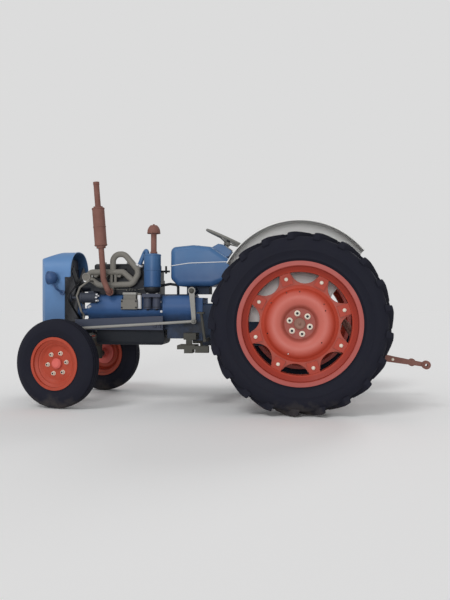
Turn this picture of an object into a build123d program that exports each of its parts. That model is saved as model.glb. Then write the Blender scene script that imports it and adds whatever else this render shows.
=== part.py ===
"""Farm tractor without its bonnet: wheels, steering, open engine, tank and rear lift as separate pieces.

Lengths are millimetres. X runs forward, Y to the left and Z up. Wheels, axles and the rear lift are drawn
from the ground under the rear axle. Engine, cowl, tank and steering are drawn from the engine's rear face
and move with it. Each piece is moved at the end, so that the origin is under the tractor's middle.
"""

import os
from math import atan2, cos, degrees, hypot, pi, radians, sin, sqrt

from build123d import *

os.makedirs("parts", exist_ok=True)

# Driving dimensions
wheelbase = 1982.0
axle_ahead = 814.0
rear_track = 1392.0
front_track = 1184.0
kingpin_y = 470.0
rear_radius = 715.0
front_radius = 372.0
front_overhang = 400.0
steer_at_rest = -12.25
fit = 0.3

# Rear tyre: half casing from the middle out, as half width and radius
lug_pairs = 21
lug_width = 50.0
lug_inner, lug_outer = -14.0, 138.0
lug_depth = 67.0
rear_bead_radius = 457.0
rear_tyre_sides = 2 * lug_pairs
rear_crown = (110.0, rear_radius - 34.0)
rear_shoulder = (150.0, rear_radius - 105.0)
rear_bead = (119.5, rear_bead_radius + 33.0)

# Rear rim and disc
rear_flange_radius = 485.0
rear_rim_half = 131.0
rear_well_radius = 413.0
rear_seat_in, rear_well_out = 76.0, 50.0
rim_wall = 9.0
rim_lip = 11.0
rim_lugs = 8
rim_lug_phase = 5.5
rim_lug_length, rim_lug_width = 96.0, 88.0
rim_lug_circle = 360.0
rim_lug_wall = 12.0
disc_radius = 386.0
disc_wall = 8.0
disc_y = 26.0
bulge_top = 78.0
scallop_circle, scallop_radius = 430.0, 115.0
rear_hub_face = 30.0
rear_hub_radius = 118.0
rear_spigot_radius = 43.5
rear_shaft_radius = 40.0
hub_flange_wall = 18.0
trumpet_end = 500.0
trumpet_radius = 110.0

# Empty holes in the disc: rows are angle from the front, circle radius
disc_hole_radius = 5.0
disc_holes = [(67, 261), (90, 248), (36, 275), (141, 240), (153, 222), (343, 262), (221, 223), (291, 251)]

# Front wheel
front_tyre_sides = 36
front_bead_radius = 203.0
front_crown = (46.0, front_radius)
front_shoulder = (79.0, front_radius - 62.0)
front_bead = (52.5, front_bead_radius + 21.0)
front_flange_radius = 221.0
front_well_radius = 178.0
front_rim_half = 60.0
front_rim_lip, front_rim_wall = 7.0, 6.0
front_seat_in, front_well_out = 38.0, 24.0
dish_face, dish_radius, dish_bore = 4.0, 142.0, 46.0
front_hub_radius = 105.0
front_hub_depth = 62.0
stub_radius = 18.0

# Knuckles and front axle
kingpin_radius = 18.0
axle_z = 500.0
axle_height, axle_depth = 84.0, 84.0
boss_radius = 36.0
boss_bottom, boss_top = 446.0, 556.0
steering_arm = 130.0
drag_arm_z = 618.0
track_arm_z = 562.0
arm_wall, arm_width, arm_eye = 18.0, 30.0, 22.0
track_rod_radius = 13.0
rod_eye_height = 30.0
drag_clear = 1.6
pivot_radius = 20.0
ear_wall = 22.0

# Engine: lengths ahead of its rear face, heights from the ground
engine_length = 701.0
engine_rear = wheelbase - axle_ahead
bell_length, clutch_length = 229.0, 319.0
upper_rear, upper_y = 80.0, 140.0
block_bottom, block_top = 640.0, 1080.0
block_bottom_y, block_foot_z = 150.0, 700.0
bulge_z, bulge_y, bulge_half = 844.0, 250.0, 90.0
side_y = 205.0
shelf_z = bulge_z + 107.5
pad_y = 200.0
pan_bottom = 500.0
pan_rear, pan_front, pan_half = 30.0, 645.0, 145.0
head_rear, head_front, head_half = 82.0, 694.0, 110.0
head_top, rocker_top, rocker_half = 1170.0, 1228.0, 84.0
tap_y, tap_z = 40.0, 1178.0

# Fan, crank and dynamo pulleys: rows are Y, Z, radius
belt_x = engine_length + 123.0
belt_width, belt_wall = 14.0, 9.0
fan_z, crank_z = 1021.0, 790.0
fan_radius, fan_blades = 230.0, 4
fan_spindle = 15.0
dynamo_y, dynamo_z, dynamo_radius = 305.0, 920.0, 44.0
dynamo_rear, dynamo_front = 596.0, 736.0
pulley_rows = [(0.0, fan_z, 58.0), (0.0, crank_z, 72.0), (dynamo_y, dynamo_z, 36.0)]

# Cowl, radiator and lamps
cowl_half = 250.0
cowl_rear = belt_x + 27.0
cowl_nose = cowl_rear + 326.0
cowl_bottom, cowl_shoulder, cowl_top = 700.0, 1150.0, 1337.0
cowl_brow = 1248.0
cowl_skin = 5.0
cowl_nose_sweep = 95.0
side_open_x, side_open_z = cowl_rear + 53.0, 1108.0
slot_count, slot_pitch, slot_width = 9, 34.0, 20.0
slot_low, slot_high = 770.0, 1170.0
radiator_rear = belt_x + 108.0
radiator_depth, radiator_half = 70.0, 215.0
core_top, header_top, header_half = 1190.0, 1285.0, 170.0
lamp_x, lamp_y, lamp_z, lamp_radius = cowl_rear + 149.0, 318.0, 1095.0, 57.0
stalk_x, stalk_z, stalk_radius = cowl_rear + 70.0, 966.0, 9.0

# Manifold: rows are X, Z along each run
trunk_y, trunk_radius = 200.0, 26.0
arch_bend, runner_bend = 66.0, 40.0
arch_run = [(477, 1140), (477, 1305), (372, 1305), (238, 1150), (300, 1040), (600, 1030), (725, 1115)]
runner_run = [(722, 1108), (672, 1148), (385, 1148), (292, 1068)]
port_rows = [637, 545, 425, 262]
port_z = 1122.0
neck_foot, neck_top = (262.0, 1150.0), (236.0, 1212.0)

# Exhaust and air inlet
exhaust_y = 300.0
exhaust_foot, exhaust_bend, exhaust_tip = (490.0, 972.0), (533.0, 1075.0), (600.0, 1926.0)
outlet_reach, flange_wall = 60.0, 10.0
exhaust_radius = 25.0
exhaust_flange = 34.0
silencer_low, silencer_high, silencer_radius = 1372.0, 1703.0, 53.0
cleaner_x, cleaner_y, cleaner_radius = 110.0, 250.0, 73.5
cleaner_low, cleaner_high, bowl_bottom = 1017.0, 1302.0, 963.0
stack_x, stack_radius = 98.0, 25.0
cap_low, cap_top, cap_radius = 1478.0, 1551.0, 56.0

# Side rails
rail_y, rail_wall = 275.0, 20.0
rail_rear, rail_front = 9.0, 792.0
rail_bottom, rail_top_rear, rail_top_front = 640.0, 762.0, 730.0
vent_radius, vent_y, vent_foot_x = 8.5, 332.0, 716.0

# Gearbox and axle housing
gearbox_rear, gearbox_half = 260.0, 165.0
gearbox_bottom, gearbox_top = 500.0, 870.0
housing_rear, housing_half = -240.0, 200.0
housing_bottom, housing_top = 480.0, 900.0
hydraulic_top = 990.0
pto_z, pto_radius, pto_length = 620.0, 17.45, 90.0
top_link_z, top_link_back, top_link_bore = 815.0, 48.0, 9.75

# Steering: column axis through the wheel's middle
wheel_x, wheel_z = -533.0, 1440.0
wheel_radius, wheel_grip = 225.0, 12.0
column_rake = 24.8
column_radius, column_shaft = 24.0, 11.0
hub_drop = 36.0
drop_x, drop_z = -244.0, 980.0
drop_end_x, drop_end_z = -264.0, 717.0
drop_y, drop_wall, drop_shaft = 286.0, 20.0, 16.0
pin_radius = 9.0
box_rear, box_front, box_half, box_top = -368.0, -168.0, 100.0, 1020.0

# Fuel tank: side view rows are X, Z
tank_half, tank_corner, tank_round = 240.0, 50.0, 46.0
tank_rows = [
    (-45, 1085),
    (-45, 1362),
    (-243, 1380),
    (-400, 1364),
    (-552, 1258),
    (-608, 1185),
    (-560, 1075),
    (-411, box_top),
    (-110, box_top),
]
dash_rows = [(-392, 1366), (-451, 1398), (-493, 1390), (-569, 1331), (-543, 1290), (-510, 1274), (-468, 1300)]
dash_half = 110.0

# Rear lift: joint centres in X, Z
rock_x, rock_z, rock_shaft = -105.0, 870.0, 17.0
lift_end_x, lift_end_z, lift_pin = -320.0, 815.0, 10.0
lift_y, lift_wall = 206.0, 22.0
link_x, link_z, link_y, link_pin = -60.0, 520.0, 250.0, 12.0
ball_x, ball_z, ball_y = -1023.0, 370.0, 365.0
ball_bore, ball_eye = 11.2, 35.0
level_drop = 44.0
rod_foot_x = -560.0

# Driver's pan and its leaf
pan_x, pan_z, pan_depth, pan_skin = 40.0, 1075.0, 80.0, 6.0
leaf_wall, leaf_half, leaf_front = 10.0, 35.0, 190.0

# Fenders
fender_lift, fender_clear = 165.0, 104.0
fender_x, fender_z = 8.0, rear_radius + fender_lift
fender_radius = rear_radius - fender_lift + fender_clear
fender_y, fender_wall, crown_y = 470.0, 4.0, 660.0
fender_from, fender_to = 29.0, 141.0

# Foot plates: rows are X low and high, Y low and high, Z low and high
foot_rows = [
    (-286, -179, gearbox_half + 5, 330, 560, 615),
    (-250, -200, 300, 330, 505, 615),
    (-306, -154, 300, 500, 490, 523),
    (-283, -213, 380, 500, 458, 490),
    (-416, -306, 440, 500, 462, 517),
]
pedal_x, pedal_y, pedal_z = engine_rear - 373.0, 400.0, 560.0

# Where the origin lies ahead of the rear axle
front_reach = wheelbase + front_overhang
hitch_reach = ball_eye - ball_x
middle_x = (front_reach - hitch_reach) / 2


def save(piece, name, ahead=0.0, steer=0.0, side=1):
    """Place a piece in the shared frame, turned about its kingpin if it steers, and write it."""
    kingpin = Axis((wheelbase, side * kingpin_y, 0), (0, 0, 1))
    placed = piece.rotate(kingpin, steer).moved(Location((ahead - middle_x, 0, 0)))
    placed.label = name
    export_step(placed, f"parts/{name}.step")


def save_pair(piece, name, steer=0.0):
    """Write a left-hand piece and its mirror image."""
    save(piece, f"{name}_left", 0.0, steer, 1)
    save(mirror(piece, about=Plane.XZ), f"{name}_right", 0.0, steer, -1)


def ring(rows):
    """Revolve a closed outline of radius and width about Y."""
    with BuildSketch(Plane.XY) as section:
        with BuildLine():
            Polyline(*rows, close=True)
        make_face()
    revolve(section.sketch, axis=Axis.Y)


def turned(x, y, rows):
    """Revolve a closed outline of radius and height about an upright axis."""
    with BuildSketch(Plane(origin=(x, y, 0), x_dir=(1, 0, 0), z_dir=(0, -1, 0))) as section:
        with BuildLine():
            Polyline(*rows, close=True)
        make_face()
    revolve(section.sketch, axis=Axis((x, y, 0), (0, 0, 1)))


def frustum(sides, start, end, mode=Mode.ADD):
    """Many-sided cone along Y between two rows of half width and radius."""
    (y_start, r_start), (y_end, r_end) = start, end
    rise = y_end - y_start
    with BuildSketch(Plane(origin=(0, y_start, 0), x_dir=(1, 0, 0), z_dir=(0, rise, 0))) as section:
        RegularPolygon(r_start, sides)
    lean = degrees(atan2((r_start - r_end) * cos(pi / sides), abs(rise)))
    extrude(section.sketch, amount=abs(rise), taper=lean, mode=mode)


def casing(sides, crown, shoulder, bead, bore):
    """Tyre casing about Y: flat crown, sloped shoulders, hollow side walls and a bore that clears its seat."""
    frustum(sides, (0.0, crown[1]), crown)
    frustum(sides, crown, shoulder)
    frustum(sides, shoulder, bead, Mode.SUBTRACT)
    with BuildSketch(Plane.XZ) as hole:
        RegularPolygon(bore, sides, major_radius=False)
    extrude(hole.sketch, amount=-shoulder[0], mode=Mode.SUBTRACT)
    mirror(about=Plane.XZ)


def drum(radius, start, end, mode=Mode.ADD):
    """Cylinder between two points."""
    span = Vector(*end) - Vector(*start)
    with BuildSketch(Plane(origin=start, z_dir=span)) as section:
        Circle(radius)
    extrude(section.sketch, amount=span.length, mode=mode)


def tube(points, radius, bend):
    """Round pipe along a line of points with rounded corners."""
    with BuildLine() as path:
        FilletPolyline(*points, radius=bend)
    with BuildSketch(Plane(origin=path.line @ 0, z_dir=path.line % 0)) as section:
        Circle(radius)
    sweep(section.sketch, path=path.line)


def block(low, high, mode=Mode.ADD):
    """Box between two opposite corners."""
    middle = [(a + b) / 2 for a, b in zip(low, high)]
    with Locations(tuple(middle)):
        Box(*[abs(b - a) for a, b in zip(low, high)], mode=mode)


def slab(points, y_from, y_to, mode=Mode.ADD):
    """Outline in X and Z, extruded from one Y to another."""
    with BuildSketch(Plane.XZ.offset(-y_from)) as section:
        with BuildLine():
            Polyline(*points, close=True)
        make_face()
    extrude(section.sketch, amount=y_from - y_to, mode=mode)


def rim_rows(flange, bead, well, half, lip, wall, seat_in, well_out):
    """Section of a drop-centre rim as radius and width."""
    outer = [(flange, half), (flange, half - lip), (bead, half - lip), (bead, seat_in), (well, well_out)]
    inner = [(bead - wall, half), (bead - wall, seat_in + wall / 2), (well - wall, well_out + wall / 2)]
    return (
        outer
        + [(radius, -y) for radius, y in reversed(outer)]
        + [(radius, -y) for radius, y in inner]
        + [(radius, y) for radius, y in reversed(inner)]
    )


# Rear wheel, drawn about Y at the origin with its outer side to +Y
rear_place = Location((0, rear_track / 2, rear_radius))
lug_run = lug_outer - lug_inner
lug_reach = (lug_run + lug_width) / 2 - 5
lug_top_radius = sqrt(rear_radius**2 - lug_reach**2)
lug_base_radius = rear_radius - lug_depth
lug_pitch = 360 / lug_pairs

with BuildPart() as lug:
    with BuildSketch(Plane(origin=(0, 0, lug_base_radius), x_dir=(1, 0, 0), z_dir=(0, 0, 1))):
        with BuildLine():
            Polyline(
                (-lug_run / 2 - lug_width / 2, lug_inner),
                (-lug_run / 2 + lug_width / 2, lug_inner),
                (lug_run / 2 + lug_width / 2, lug_outer),
                (lug_run / 2 - lug_width / 2, lug_outer),
                close=True,
            )
        make_face()
    extrude(amount=lug_top_radius - lug_base_radius, taper=5)

near_lugs = [lug.part.rotate(Axis.Y, step * lug_pitch) for step in range(lug_pairs)]
far_lug = mirror(lug.part, about=Plane.XZ)
far_lugs = [far_lug.rotate(Axis.Y, (step + 0.5) * lug_pitch) for step in range(lug_pairs)]

with BuildPart() as rear_tyre:
    casing(rear_tyre_sides, rear_crown, rear_shoulder, rear_bead, rear_bead_radius + fit)
    add(near_lugs + far_lugs)

with BuildPart() as rear_rim:
    ring(
        rim_rows(
            rear_flange_radius,
            rear_bead_radius,
            rear_well_radius,
            rear_rim_half,
            rim_lip,
            rim_wall,
            rear_seat_in,
            rear_well_out,
        )
    )
    with BuildSketch(Plane.XZ.offset(-disc_y)):
        with PolarLocations(rim_lug_circle, rim_lugs, start_angle=180 / rim_lugs + rim_lug_phase):
            Rectangle(rim_lug_length, rim_lug_width)
    extrude(amount=-rim_lug_wall)

disc_bore = rear_spigot_radius + fit
disc_back = disc_y - disc_wall
hub_back = rear_hub_face - disc_wall
bulge_in, bulge_mid, bulge_out = rear_hub_radius + 28, rear_hub_radius + 90, rear_hub_radius + 158
with BuildPart() as rear_disc:
    with BuildSketch(Plane.XY):
        with BuildLine():
            Polyline((disc_bore, rear_hub_face), (rear_hub_radius + 2, rear_hub_face), (bulge_in, 56))
            ThreePointArc((bulge_in, 56), (bulge_mid, bulge_top), (bulge_out, 40))
            Polyline((bulge_out, 40), (bulge_out + 26, disc_y), (disc_radius, disc_y), (disc_radius, disc_back))
            Polyline((disc_radius, disc_back), (bulge_out + 23, disc_back), (bulge_out - 3, 32))
            ThreePointArc((bulge_out - 3, 32), (bulge_mid - 1, bulge_top - disc_wall), (bulge_in + 3, 48))
            Polyline(
                (bulge_in + 3, 48),
                (rear_hub_radius + 5, hub_back),
                (disc_bore, hub_back),
                (disc_bore, rear_hub_face),
            )
        make_face()
    revolve(axis=Axis.Y)
    with BuildSketch(Plane.XZ):
        with PolarLocations(scallop_circle, rim_lugs, start_angle=rim_lug_phase):
            Circle(scallop_radius)
        for angle, circle in disc_holes:
            with PolarLocations(circle, 1, start_angle=angle):
                Circle(disc_hole_radius)
    extrude(amount=-100, both=True, mode=Mode.SUBTRACT)

with BuildPart() as rear_hub:
    drum(rear_shaft_radius, (0, trumpet_end - rear_track / 2 + fit, 0), (0, hub_back - hub_flange_wall, 0))
    drum(rear_hub_radius, (0, hub_back - hub_flange_wall, 0), (0, hub_back, 0))
    drum(rear_spigot_radius, (0, hub_back, 0), (0, rear_hub_face + 16, 0))

for piece, name in [
    (rear_tyre, "rear_tyre"),
    (rear_rim, "rear_rim"),
    (rear_disc, "rear_disc"),
    (rear_hub, "rear_hub"),
]:
    save_pair(piece.part.moved(rear_place), name)

# Front wheel, drawn the same way
front_place = Location((wheelbase, front_track / 2, front_radius))

with BuildPart() as front_tyre:
    casing(front_tyre_sides, front_crown, front_shoulder, front_bead, front_bead_radius + fit)

dish_edge = front_well_radius - 2
dish_back = dish_face - front_rim_wall
with BuildPart() as front_wheel:
    ring(
        rim_rows(
            front_flange_radius,
            front_bead_radius,
            front_well_radius,
            front_rim_half,
            front_rim_lip,
            front_rim_wall,
            front_seat_in,
            front_well_out,
        )
    )
    ring(
        [
            (dish_edge, dish_face + 18),
            (dish_edge - 16, dish_face + 14),
            (dish_radius, dish_face),
            (dish_bore, dish_face),
            (dish_bore, dish_back),
            (dish_radius - 3, dish_back),
            (dish_edge - 19, dish_back + 14),
            (dish_edge, dish_back + 18),
        ]
    )

cap_foot = dish_bore - 2
with BuildPart() as front_hub:
    ring(
        [
            (0, 34),
            (30, 34),
            (cap_foot, 22),
            (cap_foot, dish_back),
            (front_hub_radius, dish_back),
            (front_hub_radius, dish_back - 16),
            (52, dish_back - 22),
            (46, -front_hub_depth),
            (0, -front_hub_depth),
        ]
    )
    drum(stub_radius + fit, (0, -front_hub_depth, 0), (0, 12, 0), Mode.SUBTRACT)

for piece, name in [(front_tyre, "front_tyre"), (front_wheel, "front_wheel"), (front_hub, "front_hub")]:
    save_pair(piece.part.moved(front_place), name, steer_at_rest)

# Knuckles: the left one also carries the drag link's arm
hub_inner_y = front_track / 2 - front_hub_depth - 0.5
stub_end_y = front_track / 2 + 10
arm_x, drag_eye_y = wheelbase - steering_arm, kingpin_y - steering_arm
kingpin_at = (wheelbase, kingpin_y)
half_arm = arm_width / 2
with BuildPart() as knuckle:
    drum(34, (*kingpin_at, front_radius - 46), (*kingpin_at, boss_bottom - fit))
    drum(kingpin_radius, (*kingpin_at, boss_bottom - fit), (*kingpin_at, boss_top + fit))
    drum(30, (*kingpin_at, boss_top + fit), (*kingpin_at, drag_arm_z + arm_wall))
    drum(32, (*kingpin_at, front_radius), (wheelbase, hub_inner_y, front_radius))
    drum(stub_radius, (wheelbase, hub_inner_y, front_radius), (wheelbase, stub_end_y, front_radius))
    block((arm_x, kingpin_y - half_arm, track_arm_z), (wheelbase, kingpin_y + half_arm, track_arm_z + arm_wall))
    drum(arm_eye, (arm_x, kingpin_y, track_arm_z), (arm_x, kingpin_y, track_arm_z + arm_wall))
save(mirror(knuckle.part, about=Plane.XZ), "knuckle_right", 0.0, steer_at_rest, -1)

with BuildPart() as knuckle_left:
    add(knuckle.part)
    block((wheelbase - half_arm, drag_eye_y, drag_arm_z), (wheelbase + half_arm, kingpin_y, drag_arm_z + arm_wall))
    drum(arm_eye, (wheelbase, drag_eye_y, drag_arm_z), (wheelbase, drag_eye_y, drag_arm_z + arm_wall))
save(knuckle_left.part, "knuckle_left", 0.0, steer_at_rest, 1)

# Track rod on top of the two rear arms
turn = radians(steer_at_rest)
track_x = wheelbase - steering_arm * cos(turn)
track_shift = -steering_arm * sin(turn)
track_z = track_arm_z + arm_wall + fit
rod_z = track_z + rod_eye_height / 2
with BuildPart() as track_rod:
    for side in (1, -1):
        end_y = side * kingpin_y + track_shift
        drum(20, (track_x, end_y, track_z), (track_x, end_y, track_z + rod_eye_height))
    drum(track_rod_radius, (track_x, track_shift - kingpin_y, rod_z), (track_x, track_shift + kingpin_y, rod_z))
save(track_rod.part, "track_rod")

# Front axle beam and the bolster that carries it
beam_half_x = axle_depth / 2
with BuildPart() as axle_beam:
    block(
        (wheelbase - beam_half_x, -kingpin_y, axle_z - axle_height / 2),
        (wheelbase + beam_half_x, kingpin_y, axle_z + axle_height / 2),
    )
    for side in (1, -1):
        end_y = side * kingpin_y
        block(
            (wheelbase - beam_half_x - 18, end_y - side * (boss_radius + 2), boss_bottom - 20),
            (wheelbase + beam_half_x + 18, end_y + side * 60, boss_top + 20),
            Mode.SUBTRACT,
        )
        drum(boss_radius, (wheelbase, end_y, boss_bottom), (wheelbase, end_y, boss_top))
        block(
            (wheelbase - 30, end_y - side * 95, axle_z - 36),
            (wheelbase + 30, end_y - side * 30, axle_z + 36),
        )
        drum(kingpin_radius + fit, (wheelbase, end_y, boss_bottom), (wheelbase, end_y, boss_top), Mode.SUBTRACT)
    drum(pivot_radius + 0.2, (wheelbase - 80, 0, axle_z), (wheelbase + 80, 0, axle_z), Mode.SUBTRACT)
save(axle_beam.part, "front_axle_beam")

ear_gap = beam_half_x + 0.5
with BuildPart() as bolster:
    block((engine_length, -block_bottom_y, block_bottom), (cowl_nose - cowl_nose_sweep, block_bottom_y, cowl_bottom))
    block((cowl_rear - 4, -cowl_half, cowl_bottom - 14), (cowl_nose - 80, cowl_half, cowl_bottom))
    block((engine_length, -block_bottom_y, block_bottom), (engine_length + 20, block_bottom_y, cowl_bottom + 40))
    for side in (1, -1):
        block(
            (axle_ahead + side * ear_gap, -55, axle_z - 45),
            (axle_ahead + side * (ear_gap + ear_wall), 55, block_bottom),
        )
    drum(
        pivot_radius,
        (axle_ahead - ear_gap - ear_wall / 2, 0, axle_z),
        (axle_ahead + ear_gap + ear_wall / 2, 0, axle_z),
    )
save(bolster.part, "front_bolster", engine_rear)


# Engine block: crankcase with rounded sides below, cylinder block above
def crankcase_face(bottom):
    """Cross section of the crankcase in Y and Z."""
    low, high = bulge_z - bulge_half, bulge_z + bulge_half
    foot = block_bottom_y
    with BuildLine() as outline:
        Polyline((-side_y, low), (-foot, block_foot_z), (-foot, bottom), (foot, bottom), (foot, block_foot_z), (side_y, low))
        ThreePointArc((side_y, low), (bulge_y, bulge_z), (side_y, high))
        Polyline((side_y, high), (upper_y, shelf_z), (-upper_y, shelf_z), (-side_y, high))
        ThreePointArc((-side_y, high), (-bulge_y, bulge_z), (-side_y, low))
    make_face(outline.edges())


hose_end = -0.36 * bell_length
with BuildPart() as engine_block:
    with BuildSketch(Plane.YZ):
        crankcase_face(block_bottom)
    extrude(amount=engine_length)
    block((upper_rear, -upper_y, bulge_z), (engine_length, upper_y, block_top))
    for side in (1, -1):
        slab(
            [(567, shelf_z), (engine_length, 846), (engine_length, shelf_z + 9), (567, shelf_z + 9)],
            side * (upper_y + 1),
            side * (bulge_y + 50),
            Mode.SUBTRACT,
        )
    block((20, pad_y, 812), (388, bulge_y + 50, shelf_z + 20), Mode.SUBTRACT)
    drum(46, (engine_length, 0, fan_z), (belt_x - 12, 0, fan_z))
    drum(fan_spindle, (belt_x - 12, 0, fan_z), (belt_x + 40, 0, fan_z))
    drum(34, (engine_length, 0, crank_z), (belt_x - 8, 0, crank_z))
    drum(72, (belt_x - 8, 0, crank_z), (belt_x + belt_width + 4, 0, crank_z))
    tube(
        [
            (upper_rear + 5, 60, 1028),
            (-10, 60, 1044),
            (hose_end, 60, 1034),
            (hose_end, 60, shelf_z + fit),
        ],
        12,
        24,
    )
save(engine_block.part, "engine_block", engine_rear)

with BuildPart() as oil_pan:
    block((pan_rear, -pan_half, pan_bottom), (pan_front, pan_half, block_bottom))
    fillet(oil_pan.edges().group_by(Axis.Z)[0], 35)
save(oil_pan.part, "oil_pan", engine_rear)

with BuildPart() as cylinder_head:
    block((head_rear, -head_half, block_top), (head_front, head_half, head_top))
    block((head_rear + 18, -rocker_half, head_top), (head_front - 12, rocker_half, rocker_top))
    fillet(cylinder_head.edges().group_by(Axis.Z)[-1], 22)
    drum(9, (head_rear - 84, tap_y, tap_z - 20), (head_rear + 5, tap_y, tap_z - 20))
    drum(9, (head_rear - 50, tap_y, tap_z - 40), (head_rear - 50, tap_y, tap_z + 28))
save(cylinder_head.part, "cylinder_head", engine_rear)

# Manifold: arch and lower loop in one run, upper runner, ports into the head, outlet and air neck
outlet_x, outlet_z = exhaust_foot
foot_y = trunk_y + outlet_reach
neck_start = (neck_foot[0], trunk_y, neck_foot[1])
neck_end = Vector(neck_top[0], trunk_y, neck_top[1])
neck_way = (neck_end - Vector(*neck_start)).normalized()
with BuildPart() as manifold:
    tube([(x, trunk_y, z) for x, z in arch_run], trunk_radius, arch_bend)
    tube([(x, trunk_y, z) for x, z in runner_run], trunk_radius - 1, runner_bend)
    drum(34, (arch_run[-1][0] - 12, trunk_y - 28, port_z - 18), (arch_run[-1][0] - 12, trunk_y + 28, port_z - 18))
    for port_x in port_rows:
        drum(21, (port_x, head_half, port_z), (port_x, trunk_y, port_z))
    for web_x in (outlet_x - 35, outlet_x):
        drum(12, (web_x, trunk_y, arch_run[-2][1]), (web_x, trunk_y, runner_run[1][1]))
    drum(trunk_radius - 2, (outlet_x, trunk_y, arch_run[-2][1]), (outlet_x, trunk_y, outlet_z))
    drum(trunk_radius - 3, (outlet_x, trunk_y - 22, outlet_z), (outlet_x, foot_y, outlet_z))
    drum(exhaust_flange, (outlet_x, foot_y - flange_wall, outlet_z), (outlet_x, foot_y, outlet_z))
    drum(21, neck_start, tuple(neck_end))
    drum(29, tuple(neck_end - neck_way * 14), tuple(neck_end))
save(manifold.part, "manifold", engine_rear)

# Exhaust: elbow out of the manifold, leaning pipe and silencer
lean = Vector(exhaust_tip[0] - exhaust_bend[0], 0, exhaust_tip[1] - exhaust_bend[1]).normalized()


def on_exhaust(height):
    """Point on the exhaust's axis at a height."""
    run = (height - exhaust_bend[1]) / lean.Z
    return (exhaust_bend[0] + lean.X * run, exhaust_y, height)


with BuildPart() as exhaust_stack:
    tube(
        [
            (outlet_x, foot_y, outlet_z),
            (outlet_x, exhaust_y, outlet_z),
            on_exhaust(exhaust_bend[1]),
            on_exhaust(exhaust_tip[1]),
        ],
        exhaust_radius,
        exhaust_radius + 10,
    )
    drum(exhaust_flange, (outlet_x, foot_y, outlet_z), (outlet_x, foot_y + flange_wall, outlet_z))
    drum(silencer_radius, on_exhaust(silencer_low), on_exhaust(silencer_high))
    drum(silencer_radius - 13, on_exhaust(silencer_low - 20), on_exhaust(silencer_high + 12))
save(exhaust_stack.part, "exhaust_stack", engine_rear)

# Air cleaner with its bowl, bracket and the bent pipe to the manifold's neck
pipe_start = (cleaner_x + 48, cleaner_y - 5, cleaner_high - 7)
pipe_end = neck_end + neck_way * fit
with BuildPart() as air_cleaner:
    turned(
        cleaner_x,
        cleaner_y,
        [
            (0, cleaner_high),
            (cleaner_radius - 12, cleaner_high),
            (cleaner_radius, cleaner_high - 12),
            (cleaner_radius, cleaner_low),
            (cleaner_radius - 6, cleaner_low - 5),
            (cleaner_radius - 4, cleaner_low - 12),
            (cleaner_radius - 4, bowl_bottom + 20),
            (cleaner_radius - 22, bowl_bottom),
            (0, bowl_bottom),
        ],
    )
    block((cleaner_x - 28, upper_y, 1030), (cleaner_x + 28, cleaner_y - 60, 1090))
    tube(
        [
            pipe_start,
            (pipe_start[0], pipe_start[1], cleaner_high + 43),
            tuple(neck_end + neck_way * 110),
            tuple(pipe_end),
        ],
        19,
        22,
    )
save(air_cleaner.part, "air_cleaner", engine_rear)

with BuildPart() as intake_stack:
    drum(stack_radius, (stack_x, cleaner_y, cleaner_high), (stack_x, cleaner_y, cap_low + 5))
    with BuildSketch(Plane(origin=(stack_x, cleaner_y, 0), x_dir=(1, 0, 0), z_dir=(0, -1, 0))):
        with BuildLine():
            Polyline((0, cap_low), (cap_radius, cap_low), (cap_radius, cap_low + 12))
            ThreePointArc((cap_radius, cap_low + 12), (cap_radius - 12, cap_top - 18), (cap_radius / 2, cap_top))
            Polyline((cap_radius / 2, cap_top), (0, cap_top), (0, cap_low))
        make_face()
    revolve(axis=Axis((stack_x, cleaner_y, 0), (0, 0, 1)))
save(intake_stack.part, "intake_stack", engine_rear)

# Dynamo, injection pump and filters on the left side
with BuildPart() as dynamo:
    drum(dynamo_radius, (dynamo_rear, dynamo_y, dynamo_z), (dynamo_front, dynamo_y, dynamo_z))
    drum(12, (dynamo_front, dynamo_y, dynamo_z), (belt_x - 8, dynamo_y, dynamo_z))
    drum(36, (belt_x - 8, dynamo_y, dynamo_z), (belt_x + belt_width + 4, dynamo_y, dynamo_z))
    block(
        (dynamo_rear + 24, upper_y, dynamo_z + dynamo_radius - 11),
        (dynamo_rear + 74, dynamo_y, dynamo_z + dynamo_radius + 14),
    )
save(dynamo.part, "dynamo", engine_rear)

with BuildPart() as injection_pump:
    block((236, pad_y, 820), (377, pad_y + 105, 905))
    block((252, pad_y, 905), (362, pad_y + 80, shelf_z + 12))
    drum(18, (226, pad_y + 50, 822), (226, pad_y + 50, shelf_z + 10))
    block((216, pad_y, 930), (242, pad_y + 50, shelf_z - 2))
save(injection_pump.part, "injection_pump", engine_rear)

with BuildPart() as fuel_filters:
    block((32, pad_y, 925), (191, pad_y + 100, shelf_z + 3))
    for filter_x in (72, 151):
        drum(36, (filter_x, pad_y + 56, 822), (filter_x, pad_y + 56, 925))
save(fuel_filters.part, "fuel_filters", engine_rear)

# Fan and belt
fan_plane = Plane(origin=(belt_x + 34, 0, fan_z), x_dir=(0, 1, 0), z_dir=(1, 0, 0))
with BuildPart() as fan:
    drum(57.6, (belt_x, 0, fan_z), (belt_x + belt_width, 0, fan_z))
    drum(38, (belt_x + belt_width, 0, fan_z), (belt_x + 48, 0, fan_z))
    drum(fan_spindle + fit, (belt_x, 0, fan_z), (belt_x + 40 + fit, 0, fan_z), Mode.SUBTRACT)
    with BuildSketch(fan_plane):
        with PolarLocations((fan_radius + 34) / 2, fan_blades, start_angle=45):
            Rectangle(fan_radius - 34, 74)
    extrude(amount=6)
save(fan.part, "fan", engine_rear)

with BuildPart() as fan_belt:
    for wall, mode in [(belt_wall, Mode.ADD), (0.0, Mode.SUBTRACT)]:
        with BuildSketch(Plane.YZ.offset(belt_x)) as loop:
            for y, z, radius in pulley_rows:
                with Locations((y, z)):
                    Circle(radius + wall)
            make_hull()
        extrude(loop.sketch, amount=belt_width, mode=mode)
save(fan_belt.part, "fan_belt", engine_rear)

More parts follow.
